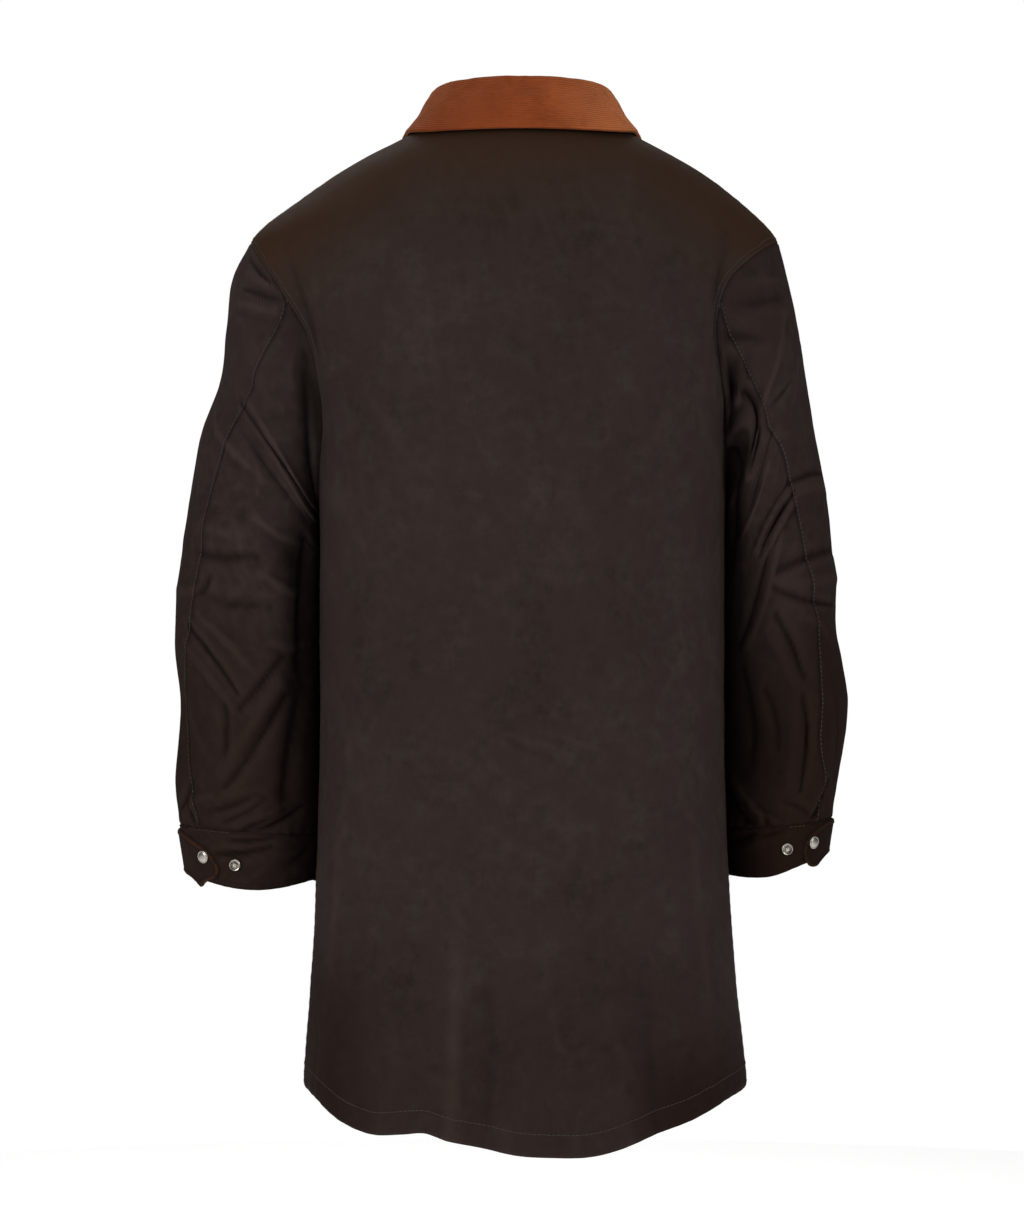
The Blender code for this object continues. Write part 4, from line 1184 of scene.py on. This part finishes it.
class Nodes:
    """A material's node tree, with short ways to add and join nodes."""

    def __init__(self, name):
        self.material = bpy.data.materials.new(name)
        self.material.use_nodes = True
        self.tree = self.material.node_tree
        self.shader = self.tree.nodes["Principled BSDF"]

    def add(self, kind, **values):
        node = self.tree.nodes.new(kind)
        for name, value in values.items():
            if name in node.inputs:
                node.inputs[name].default_value = value
            else:
                setattr(node, name, value)
        return node

    def join(self, source, target):
        self.tree.links.new(source, target)

    def place(self):
        return self.add("ShaderNodeTexCoord").outputs["Object"]

    def on_cloth(self):
        return self.add("ShaderNodeUVMap", uv_map="cloth").outputs["UV"]

    def attribute(self, name):
        return self.add("ShaderNodeAttribute", attribute_name=name).outputs["Fac"]

    def fix(self, **values):
        """Fixed values of the shader, by their names with _ for a space."""
        for name, value in values.items():
            self.shader.inputs[name.replace("_", " ")].default_value = value

    def feed(self, output, name):
        self.join(output, self.shader.inputs[name])

    def noise(self, vector, scale=1, detail=3, roughness=0.6, stretch=(1, 1, 1)):
        """Noise at this many lumps a metre, stretched by a factor on each axis."""
        mapping = self.add("ShaderNodeMapping", Scale=stretch)
        self.join(vector, mapping.inputs["Vector"])
        node = self.add("ShaderNodeTexNoise", Scale=scale, Detail=detail, Roughness=roughness)
        self.join(mapping.outputs["Vector"], node.inputs["Vector"])
        return node.outputs["Fac"]

    def wave(self, vector, pitch, axis):
        """Stripes of this pitch in metres along X or Y."""
        node = self.add("ShaderNodeTexWave", bands_direction=axis, Scale=WAVE_SCALE / pitch)
        self.join(vector, node.inputs["Vector"])
        return node.outputs["Fac"]

    def spread(self, value, low, high, to_low=0.0, to_high=1.0):
        node = self.add("ShaderNodeMapRange")
        self.join(value, node.inputs["Value"])
        ends = {"From Min": low, "From Max": high, "To Min": to_low, "To Max": to_high}
        for name, number in ends.items():
            node.inputs[name].default_value = number
        return node.outputs["Result"]

    def blend(self, share, first, second):
        """A colour between two, each a fixed colour or an output."""
        node = self.add("ShaderNodeMix", data_type="RGBA")
        self.join(share, node.inputs["Factor"])
        for socket, colour in ((node.inputs["A"], first), (node.inputs["B"], second)):
            if isinstance(colour, tuple):
                socket.default_value = (*colour, 1)
            else:
                self.join(colour, socket)
        return node.outputs["Result"]

    def add_up(self, first, second, share):
        """One number plus a share of another."""
        node = self.add("ShaderNodeMath", operation="MULTIPLY_ADD")
        self.join(second, node.inputs[0])
        node.inputs[1].default_value = share
        self.join(first, node.inputs[2])
        return node.outputs["Value"]

    def bump(self, height, strength, distance):
        node = self.add("ShaderNodeBump", Strength=strength, Distance=distance)
        self.join(height, node.inputs["Height"])
        self.join(node.outputs["Normal"], self.shader.inputs["Normal"])


def waxed_cotton(name, dark, middle, rough):
    """Dark waxed cloth: mottled wax, slubs along the weave, paler where worn, with painted shade in
    creases and hollows and where the tint darkens it.
    """
    n = Nodes(name)
    place, cloth = n.place(), n.on_cloth()
    wear_and_shade, painted_light_and_tint = n.attribute("wear_and_shade"), n.attribute("painted_light_and_tint")
    clouds = n.noise(place, scale=7, detail=5)
    specks = n.noise(place, scale=90, detail=4, roughness=0.65)
    patches = n.noise(place, scale=34, detail=4)
    warp = n.noise(cloth, stretch=(1100, 26, 1))
    weft = n.noise(cloth, stretch=(30, 1000, 1))
    tone = n.add_up(n.add_up(n.add_up(clouds, specks, share=0.75), warp, share=0.22), weft, share=0.18)
    colour = n.blend(n.spread(tone, low=0.805, high=1.345), dark, middle)
    colour = n.blend(n.spread(patches, low=0.42, high=0.58, to_high=0.7), colour, WAX_ROSE)
    colour = n.blend(n.spread(wear_and_shade, low=0.08, high=1.3, to_high=0.75), colour, WAX_WORN)
    # Painted shade where the tint is above 0
    colour = n.blend(n.spread(painted_light_and_tint, low=0, high=1), colour, WAX_SHADED)
    colour = n.blend(n.spread(painted_light_and_tint, low=0, high=-1), colour, WAX_RUST)
    # Painted shade in creases and hollows; darker along seams
    colour = n.blend(n.spread(wear_and_shade, low=-0.05, high=-0.9, to_high=0.7), colour, WAX_SHADE)
    # Painted shade on the sleeves' sides that face the body
    colour = n.blend(n.attribute("painted_shade"), colour, WAX_SHADE)
    colour = n.blend(n.attribute("binding"), colour, TAB_EDGE)
    n.feed(colour, "Base Color")
    mottle = n.add_up(clouds, specks, share=0.5)
    gloss = n.spread(mottle, low=0.5, high=1, to_low=rough + WAX_GLOSS, to_high=rough - WAX_GLOSS)
    n.feed(gloss, "Roughness")
    n.fix(Specular_IOR_Level=0.01)
    threads = n.add_up(n.wave(cloth, WEAVE, "X"), n.wave(cloth, WEAVE, "Y"), share=1)
    slubs = n.add_up(warp, weft, share=1)
    grain = n.add_up(n.add_up(threads, specks, share=1.2), slubs, share=0.8)
    n.bump(grain, strength=0.16, distance=0.0006)
    return n.material


def corduroy():
    """Tan ribbed pile: painted shade in the grooves, painted light and shade across the collar, brushed
    unevenly, with a soft sheen.
    """
    n = Nodes("corduroy")
    place, painted_light_and_tint = n.place(), n.attribute("painted_light_and_tint")
    patches = n.noise(place, scale=30, detail=4)
    blots = n.noise(place, scale=70)
    brushed = n.noise(n.on_cloth(), detail=4, roughness=0.65, stretch=(90, 900, 1))
    fibres = n.noise(place, scale=1400, detail=2)
    tone = n.add_up(n.add_up(patches, brushed, share=0.7), fibres, share=0.4)
    colour = n.blend(n.spread(tone, low=0.82, high=1.25), CORDUROY_DARK, CORDUROY_TAN)
    # Painted light towards the wearer's right, painted shade towards the left
    colour = n.blend(n.spread(painted_light_and_tint, low=0, high=1), colour, CORDUROY_LIT)
    colour = n.blend(n.spread(painted_light_and_tint, low=0, high=-1), colour, CORDUROY_DARK)
    colour = n.blend(n.spread(blots, low=0.56, high=0.70, to_high=0.4), colour, CORDUROY_DARK)
    pile_for_groove_shade = n.attribute("wear_and_shade")
    # Painted shade in the grooves between the wales
    colour = n.blend(n.spread(pile_for_groove_shade, low=0.5, high=0, to_high=0.6), colour, CORDUROY_GROOVE_SHADE)
    n.feed(colour, "Base Color")
    n.feed(n.spread(patches, low=0.3, high=0.7, to_low=0.95, to_high=0.8), "Roughness")
    n.fix(Specular_IOR_Level=0.1, Sheen_Weight=0.25, Sheen_Roughness=0.45, Sheen_Tint=CORDUROY_SHEEN)
    n.bump(n.add_up(fibres, brushed, share=1), strength=0.35, distance=0.0005)
    return n.material


def stud_metal(name, bright, dull_colour):
    """Worn nickel: fine scratches, dulled in patches."""
    n = Nodes(name)
    place = n.place()
    scratches = n.noise(place, detail=4, roughness=0.7, stretch=(900, 5200, 2600))
    dull = n.noise(place, scale=420)
    n.feed(n.blend(n.spread(dull, low=0.35, high=0.7), bright, dull_colour), "Base Color")
    worn = n.add_up(dull, scratches, share=0.6)
    n.feed(n.spread(worn, low=0.5, high=1.1, to_low=0.2, to_high=0.42), "Roughness")
    n.fix(Metallic=1)
    n.bump(scratches, strength=0.08, distance=0.0002)
    return n.material


def thread_material(name, dark, pale, shine):
    """Waxed sewing thread with a slight twist."""
    n = Nodes(name)
    fibres = n.noise(n.place(), scale=2600, detail=2)
    n.feed(n.blend(n.spread(fibres, low=0.3, high=0.7), dark, pale), "Base Color")
    n.feed(n.spread(fibres, low=0.3, high=0.7, to_low=0.5, to_high=0.7), "Roughness")
    n.fix(Specular_IOR_Level=shine)
    n.bump(fibres, strength=0.3, distance=0.0002)
    return n.material


def floor_material():
    n = Nodes("floor")
    n.feed(n.blend(n.noise(n.place(), scale=3, roughness=0.55), FLOOR_WHITE, FLOOR_PALE), "Base Color")
    n.fix(Roughness=0.9, Emission_Color=WHITE, Emission_Strength=FLOOR_GLOW)
    return n.material


WAX = waxed_cotton("waxed_cotton", WAX_DARK, WAX_BROWN, rough=0.58)
REVERSE = waxed_cotton("waxed_cotton_reverse", REVERSE_DARK, REVERSE_BROWN, rough=0.72)
CORDUROY = corduroy()
METAL = stud_metal("stud_metal", NICKEL, NICKEL_DULL)
DARK_METAL = stud_metal("stud_recess", NICKEL_DULL, NICKEL_DARK)
SEAM_THREAD = thread_material("thread", THREAD_DARK, THREAD_PALE, shine=0.5)
# Lit and shaded copies of the cuffs' thread, for stitches in painted light and painted shade
LIT_CUFF_THREAD = thread_material("lit_cuff_thread", THREAD_DARK, THREAD_LIT, shine=0.05)
SHADED_THREAD = thread_material("shaded_thread", THREAD_SHADED_DARK, THREAD_SHADED, shine=0.05)
HEM_THREAD = thread_material("hem_thread", THREAD_DARK, THREAD_HEM, shine=0.5)


def show(thing, node=None):
    """Ride on the jacket's one body and stand for a solid."""
    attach(thing, "root")
    if node:
        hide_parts(node)
    return thing


# Body panels


def body_painted_shade_and_tint(points):
    """The colour turns to rust along the shoulders; painted shade darkens it above the hem and low on the
    sides.
    """
    x, z = points[..., 0], points[..., 2]
    under = -z - SHOULDER_FALL * np.maximum(0, np.abs(x) - SHOULDER_X)
    painted_light_and_tint = NECK_TINT * np.clip(NECK_TINT_HOLD - under / NECK_TINT_DEPTH, 0, 1)
    # Painted shade above the hem and low on the sides
    painted_light_and_tint = painted_light_and_tint + HEM_PAINTED_SHADE * ease((HEM_PAINTED_SHADE_Z - z) / HEM_PAINTED_SHADE_EASE)
    for side in SIDE_WORDS:
        aside = ease((side * x - SIDE_PAINTED_SHADE_X[side]) / SIDE_PAINTED_SHADE_X_EASE)
        painted_light_and_tint = painted_light_and_tint + SIDE_PAINTED_SHADE[side] * aside * ease((SIDE_PAINTED_SHADE_Z[side] - z) / SIDE_PAINTED_SHADE_Z_EASE)
    return painted_light_and_tint


def body_levels():
    """Heights of the rows, hem to neck, closer together beside the armholes."""
    half = np.linspace(0, math.pi, ARMHOLE_ROWS + 1)
    low = np.linspace(HEM_AT_SIDE, ARMHOLE_BOTTOM, ROWS_BELOW_ARMHOLE, endpoint=False)
    high = np.linspace(ARMHOLE_TOP, 0, ROWS_ABOVE_ARMHOLE + 1)[1:]
    return np.concatenate([low, armhole_level(half)[::-1], high])


def edge_angles(side, towards):
    """Angle of a panel's side edge at every level, past the seam by half the lap."""
    levels = body_levels()
    edge = np.full(len(levels), math.pi / 2)
    turns = np.linspace(0, math.pi, ARMHOLE_ROWS + 1)[::-1] * towards
    edge[ROWS_BELOW_ARMHOLE : ROWS_BELOW_ARMHOLE + len(turns)] = armhole_angle(side, turns)
    lap = SEAM_LAP / 2 / body_reach(edge, levels)
    return edge + towards * lap


def to_hem(levels, angle):
    """Levels with the lowest rows turned into the hem's curve."""
    share = 1 - ease((levels - HEM_AT_SIDE) / HEM_EASE)
    return levels + (hem_z(angle) - HEM_AT_SIDE) * share


def out_of_body(points):
    return points * (1, 1, 0)


def back_cloth():
    levels = body_levels()[:, None]
    across = np.linspace(-1, 1, BACK_COLUMNS + 1)[None, :]
    edge = np.where(across > 0, edge_angles(1, 1)[:, None], edge_angles(-1, 1)[:, None])
    angle = across * edge
    points = body_point(angle, to_hem(np.broadcast_to(levels, angle.shape), angle))
    cloth = Cloth(points, out_of_body(points), BACK_SEED)
    cloth.edge(points[:, 0], "felled").edge(points[:, -1], "felled")
    cloth.edge(points[0], "hem").edge(points[-1], "hidden")
    return cloth.crumple("back").painted_and_tinted(body_painted_shade_and_tint(points)).settle()


def front_cloth(side):
    """The wearer's left (1) or right (-1) front. The left one laps over the right one."""
    levels = body_levels()[:, None]
    across = np.linspace(0, 1, FRONT_COLUMNS + 1)[None, :]
    bend = np.clip((levels - NECK_EASE_Z) / -NECK_EASE_Z, 0, 1)
    edge = edge_angles(side, -1)[:, None]
    angle = edge + across * (front_end(levels - NECK_DROP_FRONT * bend) - edge)
    level = to_hem(np.broadcast_to(levels, angle.shape), side * angle)
    level = level + bend * neck_level(np.minimum(angle[-1:], math.pi))
    points = body_point(side * angle, level)
    if side > 0:
        over = (angle - math.pi) * body_reach(angle, level) + LAP_START
        lift = ease(over / LAP_EASE)[..., None] * (CLOTH + 2 * SEAM_GAP)
        points = points + lift * unit(out_of_body(points))
    cloth = Cloth(points, out_of_body(points), FRONT_SEED + side)
    cloth.edge(points[:, 0], "plain").edge(points[:, -1], "placket")
    cloth.edge(points[0], "hem").edge(points[-1], "hidden")
    return cloth.crumple("front").painted_and_tinted(body_painted_shade_and_tint(points)).settle()


# Sleeves, cuffs and tabs


def sleeve_cloth(side, upper):
    """The top sleeve, over the outer side, or the under sleeve, towards the body."""
    share = np.linspace(0, cuff_share(side), SLEEVE_ROWS + 1)[:, None]
    hind = np.radians(smooth_at(HIND_SEAM["share"], HIND_SEAM[SIDE_WORDS[side]], share))
    fore = np.full_like(share, FORE_SEAM)
    first, last = (fore, hind) if upper else (hind, fore + 2 * math.pi)
    lap = SEAM_LAP / 2 / SLEEVE_RADIUS
    turn = first - lap + np.linspace(0, 1, SLEEVE_COLUMNS + 1)[None, :] * (last - first + 2 * lap)
    share = np.broadcast_to(share, turn.shape)
    points = sleeve_point(side, turn, share)
    points[0] -= unit(points[1] - points[0]) * ARMHOLE_LAP
    opposite = sleeve_point(side, turn + math.pi, share)
    cloth = Cloth(points, points - opposite, SLEEVE_SEED + 2 * side + upper)
    hind_column = -1 if upper else 0
    cloth.edge(points[:, hind_column], "plain").edge(points[:, -1 - hind_column], "plain")
    cloth.edge(points[0], "plain").edge(points[-1], "gathered")
    inside = ease((1 - np.cos(turn)) / SLEEVE_DENTS_TURN)
    cloth.crumple("sleeve", SLEEVE_DENTS + (1 - SLEEVE_DENTS) * inside)
    # Painted shade darkening down the sleeve
    start, end = SLEEVE_PAINTED_SHADE[side]
    down = ease((share - SLEEVE_PAINTED_SHADE_FROM) / (SLEEVE_PAINTED_SHADE_TO - SLEEVE_PAINTED_SHADE_FROM))
    # Patches of painted shade beside the body
    for turn_at, share_at, turn_reach, share_reach, amount in zip(*SLEEVE_PAINTED_SHADES[side].values()):
        near = bell(np.degrees(turn) - turn_at, turn_reach) * bell(share - share_at, share_reach)
        cloth.painted_shade += amount * near
    return cloth.painted_and_tinted(start + (end - start) * down).settle()


def cuff_cloth(side):
    turn = half_turn(np.arange(CUFF_COLUMNS) * 2 * math.pi / CUFF_COLUMNS)
    edge = smooth_at(CUFF_EDGE["turn_deg"], CUFF_EDGE[SIDE_WORDS[side]], np.degrees(turn))
    turn, down = np.broadcast_arrays(turn[None, :], np.linspace(0, 1, CUFF_ROWS + 1)[:, None])
    down = down * (1 + edge / CUFF_HEIGHT)
    start = cuff_share(side)
    share = start + (1 - start) * down
    normal = sleeve_normal(side, turn, share)
    below = sleeve_point(side, turn, share + STEP) - sleeve_point(side, turn, share)
    creases = folds_at(CUFF_FOLDS[side], turn, down, CUFF_RADIUS, CUFF_HEIGHT)
    lift = CUFF_PROUD + creases * ease(down / CUFF_SEAM_FADE)
    points = sleeve_point(side, turn, share) + normal * lift[..., None]
    points[0] -= unit(below[0]) * SEAM_LAP
    cloth = Cloth(points, normal, CUFF_SEED + side, closed=True)
    cloth.thick[:] = CLOTH + CUFF_PROUD
    for row in (0, -1):
        cloth.edge(np.concatenate([points[row], points[row, :1]]), "plain")
    # Painted shade over the whole cuff
    return cloth.crumple("cuff").painted_and_tinted(CUFF_PAINTED_SHADE[side]).settle()


def tab_outline(points):
    """The free edges of a tab: its lower side, its point and its upper side."""
    return np.concatenate([points[0], points[1:-1, -1], points[-1, ::-1]])


def tab_cloth(side):
    """A strap round the outer side of the cuff, with a rounded point at its back end."""
    length = (TAB_END - TAB_START) * CUFF_RADIUS
    share = np.sin(np.linspace(0, math.pi / 2, TAB_COLUMNS + 1))[None, :]
    across = np.linspace(-1, 1, TAB_ROWS + 1)[:, None]
    from_point = np.clip((1 - share) * length / TAB_POINT[side], 0, 1)
    half = TAB_HEIGHT / 2 * (TAB_TIP + (1 - TAB_TIP) * np.sin(math.pi / 2 * from_point) ** TAB_CURVE)
    drop = TAB_DROP[side] + across * half + TAB_SLANT[side] * share**2
    lower = smooth_at(TAB_LOWER["share"], TAB_LOWER[SIDE_WORDS[side]], share)
    drop = drop + lower * ((1 + across) / 2) ** 2
    along = length * share - TAB_ROUND * across**2 * share**TAB_ROUND_POWER
    turn = TAB_START + along / CUFF_RADIUS
    points, normal = on_cuff(side, turn, drop, TAB_FACE)
    cloth = Cloth(points, normal, TAB_SEED + side)
    away, _ = beside(points, tab_outline(points))
    cloth.height += TAB_PIPING * bell(away - TAB_PIPING_AT, TAB_PIPING_WIDTH)
    cloth.height -= TAB_ROLL * bell(away, TAB_ROLL)
    # The bound edge is painted weaker on the right tab, in shade
    cloth.binding = TAB_EDGE_LIT[side] * (1 - ease((away - TAB_BINDING) / TAB_BINDING_EASE))
    cloth.thick[:] = TAB_CLOTH
    # Painted shade over the whole tab
    return cloth.crumple("tab").painted_and_tinted(CUFF_PAINTED_SHADE[side]).settle()


def collar_cloth():
    """Corduroy with its wales running along the collar."""
    shares = np.linspace(0, 1, WALES * ROWS_PER_WALE + 1)
    plain = collar_grid(shares, 0.0)
    wobble = WALE_DRIFT * lumps(plain, WALE_DRIFT_SIZE, WALE_SEED)
    ribs = np.abs(np.sin(math.pi * (WALES * shares[:, None] + wobble))) ** WALE_POWER
    brushed = PILE + PILE_SWING * lumps(plain, PILE_SIZE, PILE_SEED)
    inner = collar_grid(shares, -COLLAR_CLOTH)
    cloth = Cloth(plain, plain - inner, COLLAR_SEED).crumple("collar")
    cloth.height += WALE_HEIGHT * ribs * brushed
    away, _ = beside(plain, np.concatenate([plain[:, 0], plain[-1], plain[::-1, -1]]))
    cloth.height -= COLLAR_ROLL * bell(away, COLLAR_ROLL_REACH)
    cloth.settle()
    cloth.inner = inner
    cloth.wear_and_shade = ribs * brushed
    # Painted light towards the wearer's right, painted shade towards the left
    off = plain[..., 0] - COLLAR_TINT_X
    pale = COLLAR_PAINTED_LIGHT * ease(-off / COLLAR_PAINTED_LIGHT_EASE)
    return cloth.painted_and_tinted(pale - COLLAR_PAINTED_SHADE * ease(off / COLLAR_PAINTED_SHADE_EASE))


# Press studs


def turned(name, outline, point, normal, recessed=False):
    """A round piece that stands on a surface point, its axis along the normal."""
    keys = np.arange(len(outline["radius"]))
    turn = np.arange(STUD_SIDES) * 2 * math.pi / STUD_SIDES
    up = Vector(normal).to_track_quat("Z", "Y").to_matrix()
    points, faces, slots = [], [], []
    for r, h in zip(outline["radius"], outline["height"]):
        ring = np.stack([r * np.cos(turn), r * np.sin(turn), np.full_like(turn, h)], axis=-1)
        points.append(ring if r > 0 else ring[:1])
    starts = np.cumsum([0] + [len(p) for p in points])
    for k in keys[:-1]:
        low = starts[k] + np.arange(len(points[k]))
        high = starts[k + 1] + np.arange(len(points[k + 1]))
        shallow = max(outline["height"][k : k + 2]) < RECESS
        dark = recessed and shallow and outline["radius"][k] < RECESS_RADIUS
        for j in range(STUD_SIDES):
            i = (j + 1) % STUD_SIDES
            corners = (low[j % len(low)], low[i % len(low)], high[i % len(high)], high[j % len(high)])
            faces.append(list(dict.fromkeys(int(c) for c in corners)))
            slots.append(int(dark))
    places = np.concatenate(points) @ np.array(up).T + point + np.asarray(normal) * SEAM_GAP
    return finish_mesh(name, places.tolist(), faces, [METAL, DARK_METAL], slots)


def front_stud_places():
    """Points and normals down the middle of the lapped edge, on the left front's face."""
    levels = np.linspace(FRONT_STUD_TOP, FRONT_STUD_BOTTOM, FRONT_STUDS)
    angle = np.full_like(levels, math.pi)
    normal = surface_normal(body_point, angle, levels)
    return body_point(angle, levels) + normal * (CLOTH + 2 * SEAM_GAP), normal


# The jacket


def dress(node, cloth, cut, seams, held="hung", materials=(WAX, REVERSE), **resting):
    """Make a piece of waxed cotton and its stitches. The cut that it came from is not used.

    Seams give the lines and the thread of each set of stitches, by its name.
    """
    thing = show(cloth_piece(f"cloth_{node}", cloth, materials), node)
    for name, (lines, thread) in seams.items():
        show(sewn(f"thread_{name}", lines, thread))


def make_stud(name, node, outline, point, normal, recessed=False):
    show(turned(f"stud_{name}", outline, point, normal, recessed), node)


def stud_place(side, turn, rise, lift):
    """Point and normal on a cuff or its tab, at an angle and a height over the tab's middle."""
    point, normal = on_cuff(side, np.array([turn]), np.array([TAB_DROP[side] - rise]), lift)
    return point[0], normal[0]


def make_body():
    back = back_cloth()
    fronts = {side: front_cloth(side) for side in SIDE_WORDS}
    hem = np.s_[0], np.s_[INWARD], HEM_FOLD
    lines = []
    for column, inner in ((0, INWARD), (-1, -1 - INWARD)):
        for distance in (SEAM_STITCH, FELL_STITCH):
            lines.append(back.inset(np.s_[:, column], np.s_[:, inner], distance))
    seams = {"hem_back": ([back.inset(*hem)], HEM_THREAD), "back": (lines, SEAM_THREAD)}
    dress("back", back, BACK_CUT, seams)
    for side, word in SIDE_WORDS.items():
        front = fronts[side]
        edge = np.s_[:, -1], np.s_[:, -1 - INWARD]
        lines = [front.inset(*edge, distance) for distance in PLACKET_STITCHES]
        seams = {f"hem_{word}": ([front.inset(*hem)], HEM_THREAD), f"front_{word}": (lines, SEAM_THREAD)}
        dress(f"front_{word}", front, FRONT_CUT, seams)


def make_sleeve(side, word):
    top = sleeve_cloth(side, True)
    line = top.inset(np.s_[:, -1], np.s_[:, -1 - INWARD], HIND_STITCH)
    node = f"sleeve_top_{word}"
    dress(node, top, TOP_SLEEVE_CUT[side], {node: ([line], SEAM_THREAD)})
    dress(f"sleeve_under_{word}", sleeve_cloth(side, False), UNDER_SLEEVE_CUT[side], {})


def make_cuff(side, word):
    cuff = cuff_cloth(side)
    ring = np.concatenate([np.arange(CUFF_COLUMNS), [0]])
    # Upper stitches painted lit over one arc, and in painted shade elsewhere and at the cuff's end
    first, last = (round(degrees * CUFF_COLUMNS / 360) for degrees in CUFF_STITCHES_LIT[side])
    pale = ring[first : last + 1]
    dark = np.concatenate([ring[last:], ring[1 : first + 1]])
    top = [cuff.inset(np.s_[0, part], np.s_[INWARD, part], SEAM_STITCH) for part in (pale, dark)]
    low = cuff.inset(np.s_[-1, ring], np.s_[-1 - INWARD, ring], CUFF_END_STITCH)
    seams = {f"cuff_{word}": ([top[0]], LIT_CUFF_THREAD), f"cuff_end_{word}": ([top[1], low], SHADED_THREAD)}
    dress(f"cuff_{word}", cuff, CUFF_CUT[side], seams)

    tab = tab_cloth(side)
    outline = tab_outline(tab.points)
    middle = tab.points[TAB_ROWS // 2, TAB_COLUMNS // 2]
    line = tab.snap(outline + unit(middle - outline) * TAB_STITCH)
    node = f"cuff_tab_{word}"
    # The tab's stitches are painted in shade
    seams = {node: ([line], SHADED_THREAD)}
    dress(node, tab, TAB_CUT[side], seams, held="laid", materials=[WAX], rests_on=[f"cuff_{word}"])

    place = stud_place(side, TAB_STUD[side], TAB_STUD_RISE[side], TAB_FACE)
    make_stud(f"tab_{word}", f"tab_cap_{word}", CAP_OUTLINE, *place)
    place = stud_place(side, CUFF_STUD[side], CUFF_STUD_RISE[side], CUFF_PROUD)
    make_stud(f"cuff_{word}", f"cuff_stud_{word}", OPEN_STUD_OUTLINE, *place, recessed=True)


def make_collar():
    thing = show(cloth_piece("cloth_collar", collar_cloth(), [CORDUROY]), "collar")


def make_front_studs():
    for k, place in enumerate(zip(*front_stud_places()), 1):
        make_stud(f"front_{k}", f"front_cap_{k}", CAP_OUTLINE, *place)


# Stage


def area_light(name, place, target, size, watts):
    light = bpy.data.lights.new(name, "AREA")
    light.shape = "RECTANGLE"
    light.size, light.size_y = size
    light.energy = watts
    thing = bpy.data.objects.new(name, light)
    bpy.context.scene.collection.objects.link(thing)
    thing.location = place
    thing.rotation_euler = (Vector(target) - Vector(place)).to_track_quat("-Z", "Y").to_euler()


def make_stage():
    """A pale floor where a wearer would stand, a white surround, soft lights and the photo's camera."""
    scene = bpy.context.scene
    mesh = bpy.data.meshes.new("floor")
    shape = bmesh.new()
    bmesh.ops.create_circle(shape, cap_ends=True, segments=FLOOR_SIDES, radius=FLOOR_RADIUS)
    shape.to_mesh(mesh)
    shape.free()
    mesh.materials.append(floor_material())
    floor = bpy.data.objects.new("floor", mesh)
    scene.collection.objects.link(floor)
    floor.location.z = FLOOR_Z

    world = bpy.data.worlds.new("surround")
    world.use_nodes = True
    scene.world = world
    nodes, links = world.node_tree.nodes, world.node_tree.links
    shine = nodes["Background"]
    seen = nodes.new("ShaderNodeBackground")
    mix = nodes.new("ShaderNodeMixShader")
    links.new(nodes.new("ShaderNodeLightPath").outputs["Is Camera Ray"], mix.inputs["Fac"])
    for k, (background, strength) in enumerate(((shine, SURROUND_LIGHT), (seen, 1)), 1):
        background.inputs["Color"].default_value = WHITE
        background.inputs["Strength"].default_value = strength
        links.new(background.outputs["Background"], mix.inputs[k])
    links.new(mix.outputs["Shader"], nodes["World Output"].inputs["Surface"])

    for name, (place, target, size, watts) in LIGHTS.items():
        area_light(name, place, target, size, watts)

    camera = bpy.data.cameras.new("camera")
    camera.sensor_width = SENSOR
    camera.lens = SENSOR * CAMERA_PLACE[1] / VIEW_HEIGHT
    eye = bpy.data.objects.new("camera", camera)
    scene.collection.objects.link(eye)
    eye.location = CAMERA_PLACE
    eye.rotation_euler = (math.pi / 2, 0, math.pi)
    scene.camera = eye
    scene.view_settings.view_transform = "Standard"


make_body()
for sleeve_side, side_word in SIDE_WORDS.items():
    make_sleeve(sleeve_side, side_word)
    make_cuff(sleeve_side, side_word)
make_collar()
make_front_studs()
make_stage()
